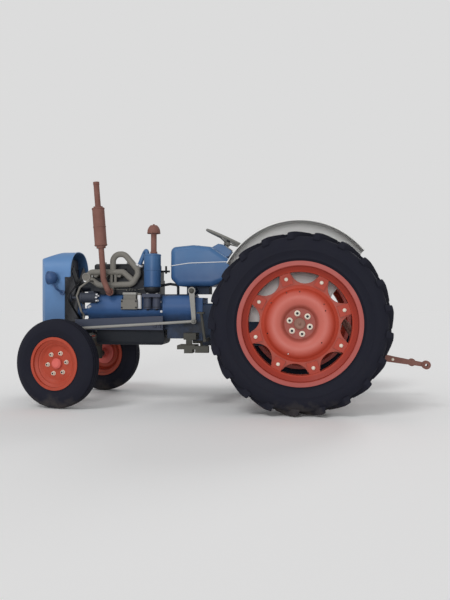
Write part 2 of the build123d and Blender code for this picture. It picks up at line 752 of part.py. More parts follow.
# Radiator, cowl and lamps
radiator_front = radiator_rear + radiator_depth
with BuildPart() as radiator:
    block((radiator_rear, -radiator_half, cowl_bottom), (radiator_front, radiator_half, core_top))
    block((radiator_rear - 10, -header_half, core_top), (radiator_front + 10, header_half, header_top))
    fillet(radiator.edges().group_by(Axis.Z)[-1], 25)
save(radiator.part, "radiator", engine_rear)


def cowl_shape(inset, rear):
    """Arched cowl with a bulged, leaning nose."""
    half = cowl_half - inset
    top = cowl_top - inset
    nose = cowl_nose - inset
    sweep_x = nose - cowl_nose_sweep
    haunch = (half - 62, cowl_top - 59)
    with BuildPart() as arch:
        with BuildSketch(Plane.YZ.offset(rear)):
            with BuildLine():
                Polyline((-half, cowl_shoulder), (-half, cowl_bottom), (half, cowl_bottom), (half, cowl_shoulder))
                ThreePointArc((half, cowl_shoulder), haunch, (half - 170, top - 6))
                ThreePointArc((half - 170, top - 6), (0, top), (170 - half, top - 6))
                ThreePointArc((170 - half, top - 6), (-haunch[0], haunch[1]), (-half, cowl_shoulder))
            make_face()
        extrude(amount=nose - rear + 80)
        with BuildSketch(Plane.XY):
            with BuildLine():
                Polyline((sweep_x, half), (rear, half), (rear, -half), (sweep_x, -half))
                ThreePointArc((sweep_x, -half), (nose, 0), (sweep_x, half))
            make_face()
        extrude(amount=cowl_top + 60, mode=Mode.INTERSECT)
        slab(
            [
                (rear, cowl_bottom),
                (nose - 40, cowl_bottom),
                (nose, cowl_brow - inset),
                (cowl_rear + 111, top),
                (rear, top),
            ],
            -cowl_half,
            cowl_half,
            Mode.INTERSECT,
        )
    return arch.part


cowl_outside = cowl_shape(0, cowl_rear)
cowl_inside = cowl_shape(cowl_skin, cowl_rear - 1)
with BuildPart() as cowl:
    add(cowl_outside)
    add(cowl_inside, mode=Mode.SUBTRACT)
    block(
        (cowl_rear - 10, -cowl_half - 50, cowl_bottom - 10),
        (side_open_x, cowl_half + 50, side_open_z),
        Mode.SUBTRACT,
    )
    for step in range(slot_count):
        slot_y = (step - (slot_count - 1) / 2) * slot_pitch
        block(
            (cowl_nose - cowl_nose_sweep, slot_y - slot_width / 2, slot_low),
            (cowl_nose + 55, slot_y + slot_width / 2, slot_high),
            Mode.SUBTRACT,
        )
save(cowl.part, "radiator_cowl", engine_rear)

lens_x = lamp_x + 0.45 * lamp_radius
lens_radius, lens_rise = lamp_radius - 7, 22.0
lens_dome = (lens_radius**2 + lens_rise**2) / (2 * lens_rise)
with BuildPart() as headlamps:
    for side in (1, -1):
        middle = (lamp_x, side * lamp_y, lamp_z)
        with BuildSketch(Plane(origin=middle, x_dir=(1, 0, 0), z_dir=(0, -1, 0))):
            with BuildLine():
                Polyline((-lamp_radius, 0), (lens_x - lamp_x, 0), (lens_x - lamp_x, lamp_radius), (0, lamp_radius))
                RadiusArc((0, lamp_radius), (-lamp_radius, 0), -lamp_radius)
            make_face()
        revolve(axis=Axis(middle, (1, 0, 0)))
        tube(
            [
                (lamp_x - 20, side * lamp_y, lamp_z - lamp_radius + 8),
                (stalk_x + 40, side * (lamp_y - 10), stalk_z + 34),
                (stalk_x, side * (cowl_half + 14), stalk_z),
            ],
            stalk_radius,
            20,
        )
        drum(22, (stalk_x, side * cowl_half, stalk_z), (stalk_x, side * (cowl_half + 18), stalk_z))
save(headlamps.part, "headlamps", engine_rear)

with BuildPart() as lamp_lenses:
    for side in (1, -1):
        middle = (lens_x, side * lamp_y, lamp_z)
        with BuildSketch(Plane(origin=middle, x_dir=(1, 0, 0), z_dir=(0, -1, 0))):
            with BuildLine():
                Polyline((lens_rise, 0), (0, 0), (0, lens_radius))
                RadiusArc((0, lens_radius), (lens_rise, 0), lens_dome)
            make_face()
        revolve(axis=Axis(middle, (1, 0, 0)))
save(lamp_lenses.part, "lamp_lenses", engine_rear)


# Side rails on spacers, and the vent pipe that comes down on the left one
def rail_top(x):
    """Height of the rail's sloping top edge."""
    return rail_top_rear + (rail_top_front - rail_top_rear) * (x - rail_rear) / (rail_front - rail_rear)


with BuildPart() as side_rails:
    for side in (1, -1):
        slab(
            [(rail_rear, rail_bottom), (rail_front, rail_bottom), (rail_front, rail_top_front), (rail_rear, rail_top_rear)],
            side * rail_y,
            side * (rail_y + rail_wall),
        )
        for x_low, x_high, z_low, z_high in [(722, 772, 660, 695), (22, 92, 645, 690)]:
            block((x_low, side * block_bottom_y, z_low), (x_high, side * rail_y, z_high))
save(side_rails.part, "side_rails", engine_rear)

vent_top = (655.0, arch_run[-2][1] + 0.44 * (arch_run[-1][1] - arch_run[-2][1]))
vent_rail_y = rail_y + rail_wall / 2
with BuildPart() as vent_pipe:
    tube(
        [
            (vent_top[0], trunk_y + trunk_radius + fit, vent_top[1]),
            (vent_top[0], vent_y, vent_top[1]),
            (735, vent_y, 1010),
            (763, vent_y, 935),
            (vent_foot_x + 6, vent_y, 800),
            (vent_foot_x, vent_rail_y, 772),
            (vent_foot_x, vent_rail_y, rail_top(vent_foot_x + vent_radius) + 1.0),
        ],
        vent_radius,
        14,
    )
save(vent_pipe.part, "vent_pipe", engine_rear)

# Clutch housing, gearbox and rear axle housing
with BuildPart() as clutch_housing:
    with BuildSketch(Plane.YZ.offset(-bell_length)):
        crankcase_face(560)
    extrude(amount=bell_length)
    block((-clutch_length, -gearbox_half - 5, 545), (-bell_length, gearbox_half + 5, 920))
save(clutch_housing.part, "clutch_housing", engine_rear)

gearbox_front = engine_rear - clutch_length
with BuildPart() as gearbox:
    block((gearbox_rear, -gearbox_half, gearbox_bottom), (gearbox_front, gearbox_half, gearbox_top))
    fillet(gearbox.edges().filter_by(Axis.X), 30)
    block((gearbox_rear + 140, -110, gearbox_top - 10), (gearbox_front - 109, 110, gearbox_top + 22))
save(gearbox.part, "gearbox")

flange_y = housing_half - 10
rock_seat_y = lift_y - 0.5
link_seat_y = link_y - 15
with BuildPart() as axle_housing:
    block((housing_rear, -housing_half, housing_bottom), (gearbox_rear, housing_half, housing_top))
    fillet(axle_housing.edges().filter_by(Axis.X), 40)
    for side in (1, -1):
        drum(trumpet_radius + 40, (0, side * flange_y, rear_radius), (0, side * (housing_half + 3), rear_radius))
        drum(trumpet_radius, (0, side * flange_y, rear_radius), (0, side * trumpet_end, rear_radius))
        drum(42, (rock_x, side * flange_y, rock_z), (rock_x, side * rock_seat_y, rock_z))
        drum(
            rock_shaft + fit,
            (rock_x, side * (flange_y - 30), rock_z),
            (rock_x, side * rock_seat_y, rock_z),
            Mode.SUBTRACT,
        )
        block(
            (link_x - 40, side * (housing_half - 5), link_z - 45),
            (link_x + 40, side * link_seat_y, link_z + 45),
        )
        drum(link_pin, (link_x, side * link_seat_y, link_z), (link_x, side * (link_seat_y + 37), link_z))
    drum(62, (housing_rear, 0, pto_z), (housing_rear - 22, 0, pto_z))
    for y in (-32, 32):
        block((housing_rear - 75, y - 8, top_link_z - 35), (housing_rear, y + 8, top_link_z + 35))
    with Locations(Plane(origin=(housing_rear - top_link_back, 0, top_link_z), z_dir=(0, 1, 0))):
        Hole(top_link_bore)
save(axle_housing.part, "axle_housing")

with BuildPart() as pto_shaft:
    drum(pto_radius, (housing_rear - 22, 0, pto_z), (housing_rear - 22 - pto_length, 0, pto_z))
save(pto_shaft.part, "pto_shaft")

with BuildPart() as hydraulic_housing:
    block((housing_rear + 15, -165, housing_top), (gearbox_rear - 60, 165, hydraulic_top))
    fillet(hydraulic_housing.edges().filter_by(Axis.Z), 40)
save(hydraulic_housing.part, "hydraulic_housing")

# Rear lift
lift_out_y = lift_y + lift_wall
reach = Vector(lift_end_x - rock_x, 0, lift_end_z - rock_z)
across = reach.cross(Vector(0, 1, 0)).normalized()
lift_corners = [(rock_x, rock_z, 30), (lift_end_x, lift_end_z, 22), (lift_end_x, lift_end_z, -22), (rock_x, rock_z, -30)]
with BuildPart() as lift_arms:
    for side in (1, -1):
        drum(rock_shaft, (rock_x, side * (flange_y - 30), rock_z), (rock_x, side * lift_y, rock_z))
        drum(38, (rock_x, side * lift_y, rock_z), (rock_x, side * lift_out_y, rock_z))
        drum(26, (lift_end_x, side * lift_y, lift_end_z), (lift_end_x, side * lift_out_y, lift_end_z))
        drum(
            lift_pin,
            (lift_end_x, side * lift_out_y, lift_end_z),
            (lift_end_x, side * (lift_out_y + 26), lift_end_z),
        )
        slab(
            [(x + across.X * half, z + across.Z * half) for x, z, half in lift_corners],
            side * lift_y,
            side * lift_out_y,
        )
save(lift_arms.part, "lift_arms")

# Lower links: the right one hangs lower by its longer, levelled lift rod
link_tips = {1: ball_z, -1: ball_z - level_drop}
link_run = ball_x - link_x
link_spread = (ball_y - link_y) / link_run
rod_y = lift_out_y + 12.0
rod_foot_y = link_y + link_spread * (rod_foot_x - link_x) - 30


def link_height(tip_z, x):
    """Height of a lower link's middle line at a place along X."""
    return link_z + (tip_z - link_z) * (x - link_x) / link_run


rod_foot = (rod_foot_x, rod_foot_y, link_height(ball_z, rod_foot_x))
with BuildPart() as lift_rods:
    for side, tip_z in link_tips.items():
        foot_z = link_height(tip_z, rod_foot_x)
        drum(24, (lift_end_x, side * (rod_y - 11.5), lift_end_z), (lift_end_x, side * (rod_y + 11), lift_end_z))
        drum(11, (lift_end_x, side * rod_y, lift_end_z), (rod_foot_x, side * rod_foot_y, foot_z))
        drum(24, (rod_foot_x, side * (rod_foot_y - 10), foot_z), (rod_foot_x, side * (rod_foot_y + 10), foot_z))
        drum(
            lift_pin + fit,
            (lift_end_x, side * (rod_y - 20), lift_end_z),
            (lift_end_x, side * (rod_y + 20), lift_end_z),
            Mode.SUBTRACT,
        )
save(lift_rods.part, "lift_rods")

link_length = hypot(link_run, ball_y - link_y)


def lower_link(tip_z):
    """Left-hand lower link: a bar that swells in the middle, with an eye at each end."""
    flat = Plane(
        origin=(link_x, link_y, link_z),
        x_dir=(link_run, ball_y - link_y, 0),
        z_dir=(ball_y - link_y, -link_run, 0),
    )
    drop = tip_z - link_z
    stations = [(0.0, 22.0), (0.6, 30.0), (0.95, 18.0), (1.0, 18.0)]
    upper = [(share * link_length, share * drop + half) for share, half in stations]
    lower = [(share * link_length, share * drop - half) for share, half in reversed(stations)]
    with BuildPart() as link:
        with BuildSketch(flat):
            with BuildLine():
                Polyline(*upper, *lower, close=True)
            make_face()
        extrude(amount=10, both=True)
        drum(30, (link_x, link_seat_y + 0.5, link_z), (link_x, link_seat_y + 31, link_z))
        drum(ball_eye, (ball_x, ball_y - 18, tip_z), (ball_x, ball_y + 18, tip_z))
        drum(link_pin + fit, (link_x, link_y - 50, link_z), (link_x, link_y + 50, link_z), Mode.SUBTRACT)
        drum(ball_bore, (ball_x, ball_y - 40, tip_z), (ball_x, ball_y + 40, tip_z), Mode.SUBTRACT)
    return link.part


save(lower_link(link_tips[1]), "lower_link_left")
save(mirror(lower_link(link_tips[-1]), about=Plane.XZ), "lower_link_right")

# Steering box with column, wheel, drop arm and drag link
column_dir = Vector(-sin(radians(column_rake)), 0, cos(radians(column_rake)))
wheel_middle = Vector(wheel_x, 0, wheel_z)


def on_column(distance):
    """Point on the column at a distance below the steering wheel's plane."""
    return tuple(wheel_middle - column_dir * distance)


hub_bottom = hub_drop + 14.0
with BuildPart() as steering_box:
    block((box_rear, -box_half, shelf_z), (box_front, box_half, box_top))
    drum(30, (drop_x, box_half - 10, drop_z), (drop_x, drop_y - 0.5, drop_z))
    drum(drop_shaft + fit, (drop_x, drop_y - 86, drop_z), (drop_x, drop_y, drop_z), Mode.SUBTRACT)
    drum(column_radius, on_column(480), on_column(hub_bottom + 0.5))
    drum(column_shaft + fit, on_column(hub_bottom + 100), on_column(hub_bottom), Mode.SUBTRACT)
save(steering_box.part, "steering_box", engine_rear)

rim_plane = Plane(origin=tuple(wheel_middle), x_dir=(0, 1, 0), z_dir=column_dir)
grip_circle = wheel_radius - wheel_grip
with BuildPart() as steering_wheel:
    with BuildSketch(Plane(origin=rim_plane.origin, x_dir=(0, 1, 0), z_dir=rim_plane.x_dir.cross(column_dir))):
        with Locations((grip_circle, 0)):
            Circle(wheel_grip)
    revolve(axis=Axis(rim_plane.origin, column_dir))
    drum(30, on_column(hub_bottom), on_column(hub_drop - 14))
    drum(column_shaft, on_column(hub_bottom + 90), on_column(hub_bottom))
    for step in range(3):
        angle = radians(90 + 120 * step)
        end = wheel_middle + (rim_plane.x_dir * cos(angle) + rim_plane.y_dir * sin(angle)) * (grip_circle - 2)
        drum(7, on_column(hub_drop), tuple(end))
save(steering_wheel.part, "steering_wheel", engine_rear)

drop_out_y = drop_y + drop_wall
with BuildPart() as drop_arm:
    drum(drop_shaft, (drop_x, drop_y - 81, drop_z), (drop_x, drop_y, drop_z))
    drum(32, (drop_x, drop_y, drop_z), (drop_x, drop_out_y, drop_z))
    drum(22, (drop_end_x, drop_y, drop_end_z), (drop_end_x, drop_out_y, drop_end_z))
    slab(
        [
            (drop_x - 24, drop_z),
            (drop_x + 24, drop_z),
            (drop_end_x + 17, drop_end_z),
            (drop_end_x - 17, drop_end_z),
        ],
        drop_y,
        drop_out_y,
    )
    drum(pin_radius, (drop_end_x, drop_y, drop_end_z), (drop_end_x, drop_out_y + 26, drop_end_z))
save(drop_arm.part, "drop_arm", engine_rear)

drag_y = drop_out_y + 12.0
drag_x = axle_ahead + steering_arm * sin(turn)
drag_end_y = kingpin_y - steering_arm * cos(turn)
drag_z = drag_arm_z + arm_wall + drag_clear
with BuildPart() as drag_link:
    drum(22, (drop_end_x, drag_y - 11.5, drop_end_z), (drop_end_x, drag_y + 11, drop_end_z))
    drum(12, (drop_end_x, drag_y, drop_end_z), (drag_x, drag_end_y, drag_z + 14))
    drum(20, (drag_x, drag_end_y, drag_z), (drag_x, drag_end_y, drag_z + rod_eye_height))
    drum(
        pin_radius + fit,
        (drop_end_x, drag_y - 20, drop_end_z),
        (drop_end_x, drag_y + 20, drop_end_z),
        Mode.SUBTRACT,
    )
save(drag_link.part, "drag_link", engine_rear)

# Fuel tank: rounded side view, rounded again along its sides
with BuildPart() as fuel_tank:
    with BuildSketch(Plane.XZ.offset(-tank_half)) as tank_side:
        with BuildLine():
            Polyline(*tank_rows, close=True)
        make_face()
        fillet(tank_side.vertices(), tank_corner)
    extrude(amount=2 * tank_half)
    fillet(fuel_tank.faces().filter_by(Axis.Y).edges(), tank_round)
    drum(column_radius + 10, on_column(600), on_column(0), Mode.SUBTRACT)
save(fuel_tank.part, "fuel_tank", engine_rear)

with BuildPart() as dash:
    slab(dash_rows, -dash_half, dash_half)
    drum(column_radius + fit, on_column(600), on_column(0), Mode.SUBTRACT)
    add(fuel_tank.part, mode=Mode.SUBTRACT)
save(dash.part, "dash", engine_rear)

# Driver's pan and its leaf: shell rows are height, shift, length, width, corner
pan_outer = [(0.0, 0.0, 400.0, 440.0, 120.0), (pan_depth, -10.0, 460.0, 500.0, 150.0)]
pan_inner = [(pan_skin, 0.0, 390.0, 430.0, 115.0), (pan_depth + 1, -10.0, 449.0, 489.0, 144.0)]
with BuildPart() as driver_pan:
    for rows, mode in [(pan_outer, Mode.ADD), (pan_inner, Mode.SUBTRACT)]:
        sections = []
        for height, shift, length, width, corner in rows:
            with BuildSketch(Plane.XY.offset(pan_z + height)) as section:
                with Locations((pan_x + shift, 0)):
                    RectangleRounded(length, width, corner)
            sections.append(section.sketch)
        loft(sections, mode=mode)
save(driver_pan.part, "driver_pan")

with BuildPart() as pan_leaf:
    block((pan_x - 100, -leaf_half, hydraulic_top), (leaf_front, leaf_half, hydraulic_top + leaf_wall))
    block((leaf_front - leaf_wall, -leaf_half, hydraulic_top), (leaf_front, leaf_half, pan_z))
    block((pan_x - 40, -leaf_half, pan_z - leaf_wall), (leaf_front, leaf_half, pan_z))
save(pan_leaf.part, "pan_leaf")


# Fenders: inner plate with a crown over the inner half of the tyre
def on_crown(angle, radius):
    """Point on the fender's crown, as X and Z."""
    return (fender_x + radius * cos(radians(angle)), fender_z + radius * sin(radians(angle)))


fender_sweep = [fender_from, (fender_from + fender_to) / 2, fender_to]
fender_inner = fender_radius - fender_wall
with BuildPart() as fender:
    with BuildSketch(Plane.XZ.offset(-fender_y)):
        with BuildLine():
            ThreePointArc(*[on_crown(angle, fender_radius) for angle in fender_sweep])
            Polyline(
                on_crown(fender_to, fender_radius),
                (-256, rear_radius + 228),
                (-150, rear_radius + 5),
                (480, rear_radius + 5),
                on_crown(fender_from, fender_radius),
            )
        make_face()
    extrude(amount=-fender_wall)
    with BuildSketch(Plane.XZ.offset(-fender_y)):
        with BuildLine():
            ThreePointArc(*[on_crown(angle, fender_radius) for angle in fender_sweep])
            Line(on_crown(fender_to, fender_radius), on_crown(fender_to, fender_inner))
            ThreePointArc(*[on_crown(angle, fender_inner) for angle in reversed(fender_sweep)])
            Line(on_crown(fender_from, fender_inner), on_crown(fender_from, fender_radius))
        make_face()
    extrude(amount=fender_y - crown_y)
    drum(trumpet_radius + 0.2, (0, fender_y - 20, rear_radius), (0, fender_y + 20, rear_radius), Mode.SUBTRACT)
save_pair(fender.part, "fender")

# Foot plates, pedals and levers
with BuildPart() as foot_plates:
    for side in (1, -1):
        for x_low, x_high, y_low, y_high, z_low, z_high in foot_rows:
            block((x_low, side * y_low, z_low), (x_high, side * y_high, z_high))
save(foot_plates.part, "foot_plates", engine_rear)

lever_x = gearbox_rear + 210
with BuildPart() as controls:
    for side in (1, -1):
        drum(14, (pedal_x, side * gearbox_half, pedal_z), (pedal_x, side * (pedal_y + 17), pedal_z))
        drum(12, (pedal_x, side * pedal_y, pedal_z), (pedal_x + 31, side * pedal_y, pedal_z + 230))
        block(
            (pedal_x + 5, side * (pedal_y - 35), pedal_z + 225),
            (pedal_x + 65, side * (pedal_y + 35), pedal_z + 237),
        )
    drum(9, (lever_x, 0, gearbox_top + 24), (lever_x - 40, 0, 1130))
    with Locations((lever_x - 40, 0, 1140)):
        Sphere(20)
save(controls.part, "controls")
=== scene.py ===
"""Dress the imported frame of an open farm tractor: tyres, bolts, pipes, trim and worn finishes.

Lengths are in millimetres, unless a docstring says metres. Points are measured from the ground under the rear
axle, with X forward, Y to the left and Z up. The helper ``at`` turns such a point into the frame's metres.
"""

from __future__ import annotations

import logging
from cmath import phase, rect
from dataclasses import dataclass
from enum import Enum
from functools import cache
from math import cos, pi, radians, sin
from typing import Callable, Sequence

import bmesh
import bpy
from mathutils import Matrix, Vector

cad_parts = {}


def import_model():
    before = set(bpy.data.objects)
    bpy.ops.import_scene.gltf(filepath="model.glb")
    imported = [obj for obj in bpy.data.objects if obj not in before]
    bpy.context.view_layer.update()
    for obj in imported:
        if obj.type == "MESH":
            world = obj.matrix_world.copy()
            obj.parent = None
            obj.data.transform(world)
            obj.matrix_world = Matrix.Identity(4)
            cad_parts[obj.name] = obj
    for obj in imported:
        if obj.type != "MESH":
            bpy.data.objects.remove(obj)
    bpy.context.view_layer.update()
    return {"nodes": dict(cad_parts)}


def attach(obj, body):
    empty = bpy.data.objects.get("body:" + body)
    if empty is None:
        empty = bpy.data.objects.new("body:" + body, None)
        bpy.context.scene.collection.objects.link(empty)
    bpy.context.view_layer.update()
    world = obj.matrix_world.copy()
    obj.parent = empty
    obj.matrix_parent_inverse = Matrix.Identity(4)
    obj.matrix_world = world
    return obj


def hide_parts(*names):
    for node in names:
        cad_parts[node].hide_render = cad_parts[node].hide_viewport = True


LOG = logging.getLogger("tractor")
ORIGIN_X = 662.0
SMOOTH_ANGLE = 38.0
SHARP_ANGLE = 35.0
GRAIN_DEPTH = 0.002
Piece, Socket = bpy.types.Object, bpy.types.NodeSocket
Sockets, Tree = bpy.types.NodeOutputs, bpy.types.NodeTree
Point = tuple[float, float, float]
Pair = tuple[float, float]
Colour = tuple[float, float, float, float]
UP, DOWN, LEFT = (0, 0, 1), (0, 0, -1), (0, 1, 0)
FORWARD, BACK = (1, 0, 0), (-1, 0, 0)


class Side(Enum):
    """Side of the tractor, with the sign of its Y."""

    LEFT = 1
    RIGHT = -1

    @property
    def word(self) -> str:
        """Name used by nodes and bodies."""
        return self.name.lower()


def at(x: float, y: float, z: float) -> Vector:
    """Turn a drawing point in millimetres into a frame point in metres.

    Args:
        x: Distance ahead of the rear axle.
        y: Distance to the left.
        z: Height above the ground.

    Returns:
        The point in metres in the shared frame.
    """
    return Vector(((x - ORIGIN_X) / 1000, y / 1000, z / 1000))


def paint(code: str) -> Colour:
    """Turn a display colour such as ``4a7ab5`` into linear light.

    Args:
        code: Six hexadecimal digits.

    Returns:
        Linear red, green and blue, and full opacity.
    """
    parts = [int(code[i : i + 2], 16) / 255 for i in (0, 2, 4)]
    red, green, blue = (v / 12.92 if v <= 0.04045 else ((v + 0.055) / 1.055) ** 2.4 for v in parts)
    return (red, green, blue, 1.0)


class NodeSheet:
    """Adds and joins nodes in one node tree."""

    def __init__(self, tree: Tree) -> None:
        """Keep the tree and start from an empty sheet."""
        self.tree = tree
        tree.nodes.clear()

    def add(self, kind: str, inputs: dict | None = None, **settings: object) -> bpy.types.Node:
        """Add a node, with its settings and inputs.

        Args:
            kind: Blender's name of the node type.
            inputs: Values or output sockets for its inputs, by name or place.
            settings: Attributes set on the node.

        Returns:
            The new node.
        """
        node = self.tree.nodes.new(kind)
        for key, value in settings.items():
            setattr(node, key, value)
        for key, value in (inputs or {}).items():
            if isinstance(value, Socket):
                self.tree.links.new(value, node.inputs[key])
            else:
                node.inputs[key].default_value = value
        return node

    def math(self, operation: str, first: object, second: object) -> Socket:
        """Add a clamped sum, product or the like and return its output."""
        inputs = {0: first, 1: second}
        return self.add("ShaderNodeMath", inputs, operation=operation, use_clamp=True).outputs[0]

    def times(self, first: object, second: object) -> Socket:
        """Add a clamped product and return its output."""
        return self.math("MULTIPLY", first, second)

    def vector(self, operation: str, *values: object) -> Sockets:
        """Add a vector sum, product or the like and return its outputs."""
        return self.add("ShaderNodeVectorMath", dict(enumerate(values)), operation=operation).outputs

    def mix(self, factor: object, first: object, second: object) -> Socket:
        """Add a colour mix and return its output."""
        return self.add("ShaderNodeMix", {0: factor, 6: first, 7: second}, data_type="RGBA").outputs[2]

    def group(self, tree: Tree, **inputs: object) -> Sockets:
        """Place a shader group with its inputs and return its outputs."""
        return self.add("ShaderNodeGroup", inputs, node_tree=tree).outputs

    def ramp(self, value: object, low: object, high: object, curve: str = "LINEAR") -> Socket:
        """Stretch a value from low and high to 0 and 1, and clamp it."""
        inputs = {"Value": value, "From Min": low, "From Max": high}
        return self.add("ShaderNodeMapRange", inputs, clamp=True, interpolation_type=curve).outputs[0]

    def noise(self, vector: object, scale: object, detail: float) -> Socket:
        """Add a noise on a vector and return its value."""
        inputs = {"Vector": vector, "Scale": scale, "Detail": detail, "Roughness": 0.6}
        return self.add("ShaderNodeTexNoise", inputs).outputs[0]

    def wave(self, vector: object, scale: float, way: str) -> Socket:
        """Add even bands along one axis and return their value."""
        inputs = {"Vector": vector, "Scale": scale}
        return self.add("ShaderNodeTexWave", inputs, bands_direction=way).outputs[1]

    def bump(self, strength: float, depth: float, **inputs: object) -> Socket:
        """Add a bump of a depth in metres and return its normal."""
        return self.add("ShaderNodeBump", {"Strength": strength, "Distance": depth, **inputs}).outputs[0]


class Effects:
    """Shader groups that the finishes share, each built once."""

    vectors = ("Vector", "Axle", "Normal")
    colours = ("Color", "Base", "Faded", "Chip", "Dirt", "Tint")

    @staticmethod
    def _sockets(sheet: NodeSheet, labels: Sequence[str], direction: str) -> None:
        """Give a group sockets, which are numbers unless their names say otherwise.

        Args:
            sheet: Sheet of the group.
            labels: Names of the sockets.
            direction: INPUT or OUTPUT.
        """
        for label in labels:
            kind = "Vector" if label in Effects.vectors else "Color" if label in Effects.colours else "Float"
            sheet.tree.interface.new_socket(label, in_out=direction, socket_type=f"NodeSocket{kind}")

    @staticmethod
    def _start(name: str, inputs: str) -> tuple[NodeSheet, Sockets]:
        """Make a group with input sockets.

        Args:
            name: Name of the group.
            inputs: Names of its inputs.

        Returns:
            The sheet, and the inputs to read from.
        """
        sheet = NodeSheet(bpy.data.node_groups.new(name, "ShaderNodeTree"))
        Effects._sockets(sheet, inputs.split(), "INPUT")
        return sheet, sheet.add("NodeGroupInput").outputs

    @staticmethod
    def _end(sheet: NodeSheet, **outputs: Socket) -> Tree:
        """Give a group its outputs.

        Args:
            sheet: Sheet of the group.
            outputs: What each output shows, by its name.

        Returns:
            The finished group.
        """
        Effects._sockets(sheet, tuple(outputs), "OUTPUT")
        sheet.add("NodeGroupOutput", outputs)
        return sheet.tree

    @staticmethod
    @cache
    def edges() -> Tree:
        """Soft normal at the edges, and a mask of where hands and tools have worn them.

        Returns:
            The group.
        """
        sheet, get = Effects._start("edge_wear", "Vector Width Wear")
        soft = sheet.add("ShaderNodeBevel", {"Radius": get["Width"]}, samples=4).outputs[0]
        plain = sheet.add("ShaderNodeNewGeometry").outputs["Normal"]
        edge = sheet.ramp(sheet.vector("DOT_PRODUCT", soft, plain)["Value"], 0.99, 0.86)
        broken = sheet.ramp(sheet.noise(get["Vector"], 46.0, 6.0), 0.44, 0.6)
        return Effects._end(sheet, Normal=soft, Mask=sheet.times(sheet.times(edge, broken), get["Wear"]))

    @staticmethod
    @cache
    def weathering() -> Tree:
        """Colour, roughness and height of faded patches, chips and a fine grain.

        Returns:
            The group.
        """
        sheet, get = Effects._start("weathering", "Vector Base Faded Chip Worn Fade Chips Rough Grain")
        place = get["Vector"]
        patches = sheet.ramp(sheet.noise(place, 5.5, 5.0), 0.36, 0.7)
        clouds = sheet.ramp(sheet.noise(place, 23.0, 4.0), 0.3, 0.75)
        mottle = sheet.math("ADD", sheet.times(patches, 0.75), sheet.times(clouds, 0.25))
        colour = sheet.mix(sheet.times(mottle, get["Fade"]), get["Base"], get["Faded"])
        specks = sheet.ramp(sheet.noise(place, 38.0, 9.0), 0.67, 0.7)
        scars = sheet.ramp(sheet.noise(place, 11.0, 7.0), 0.7, 0.73)
        chips = sheet.times(sheet.math("MAXIMUM", specks, scars), get["Chips"])
        chips = sheet.math("MAXIMUM", chips, get["Worn"])
        grain = sheet.noise(place, get["Grain"], 6.0)
        rough = sheet.math("ADD", get["Rough"], sheet.times(chips, 0.3))
        rough = sheet.math("ADD", rough, sheet.times(patches, 0.12))
        height = sheet.math("SUBTRACT", sheet.times(grain, 0.8), sheet.times(chips, 0.5))
        colour = sheet.mix(chips, colour, get["Chip"])
        return Effects._end(sheet, Color=colour, Roughness=rough, Height=height)

    @staticmethod
    @cache
    def grime_and_shade() -> Tree:
        """Colour with a darker layer that grows between two heights: dirt on some finishes, painted shade on
        others.

        Returns:
            The group.
        """
        sheet, get = Effects._start("grime_and_shade", "Vector Color Dirt Clean Dirty Amount Patchy")
        height = sheet.add("ShaderNodeSeparateXYZ", {0: get["Vector"]}).outputs[2]
        layer = sheet.times(sheet.ramp(height, get["Clean"], get["Dirty"]), get["Amount"])
        gaps = sheet.times(sheet.ramp(sheet.noise(get["Vector"], 9.0, 5.0), 0.6, 0.25), get["Patchy"])
        mask = sheet.math("SUBTRACT", layer, gaps)
        return Effects._end(sheet, Color=sheet.mix(mask, get["Color"], get["Dirt"]))

    @staticmethod
    @cache
    def painted_ring_shading() -> Tree:
        """Colour with a band of painted light between two radii about an axle along Y: lighter for a painted
        highlight, darker for painted shade.

        Returns:
            The group.
        """
        sheet, get = Effects._start("painted_ring_shading", "Vector Color Tint Axle Plain Full Amount")
        away = sheet.vector("SUBTRACT", get["Vector"], get["Axle"])[0]
        radius = sheet.vector("LENGTH", sheet.vector("MULTIPLY", away, (1.0, 0.0, 1.0))[0])["Value"]
        band = sheet.ramp(radius, get["Plain"], get["Full"], "SMOOTHSTEP")
        mask = sheet.times(band, get["Amount"])
        return Effects._end(sheet, Color=sheet.mix(mask, get["Color"], get["Tint"]))


@dataclass(frozen=True)
class Dirt:
    """Dirt on some finishes and painted shade on others, growing between two heights.

    Attributes:
        colour: Colour of the layer.
        onset: Height in metres where the layer starts.
        peak: Height in metres where the layer is full.
        amount: Most of it, from 0 to 1.
        patchy: How much its patches let the finish through.
    """

    colour: str
    clean: float
    dirty: float
    amount: float
    patchy: float = 0.5


@dataclass(frozen=True)
class PaintedRingShading:
    """Band of painted light on a wheel between two radii: a painted highlight where lighter, painted shade
    where darker.

    Attributes:
        colour: Colour of the painted band.
        plain: Radius in metres where it starts.
        full: Radius in metres where it is full.
        amount: Most of it, from 0 to 1.
        axle: A point on the wheel's axle, in metres.
    """

    colour: str
    plain: float
    full: float
    amount: float
    axle: Point = (-0.662, 0.0, 0.715)


class Surface:
    """Material that is built once, under its own name."""

    name: str

    def material(self) -> bpy.types.Material:
        """Build the material once.

        Returns:
            The material, new or found.
        """
        name = f"worn_{self.name}"
        found = bpy.data.materials.get(name)
        if found:
            return found
        material = bpy.data.materials.new(name)
        material.use_nodes = True
        sheet = NodeSheet(material.node_tree)
        inputs = self.inputs(sheet, sheet.add("ShaderNodeTexCoord").outputs["Object"])
        shader = sheet.add("ShaderNodeBsdfPrincipled", inputs)
        sheet.add("ShaderNodeOutputMaterial", {"Surface": shader.outputs[0]})
        return material

    def inputs(self, sheet: NodeSheet, place: Socket) -> dict[str, object]:
        """Work out what goes into the shader.

        Args:
            sheet: Sheet of the material.
            place: Place on the object, in metres.

        Returns:
            Values or sockets by the shader's own names.
        """
        raise NotImplementedError


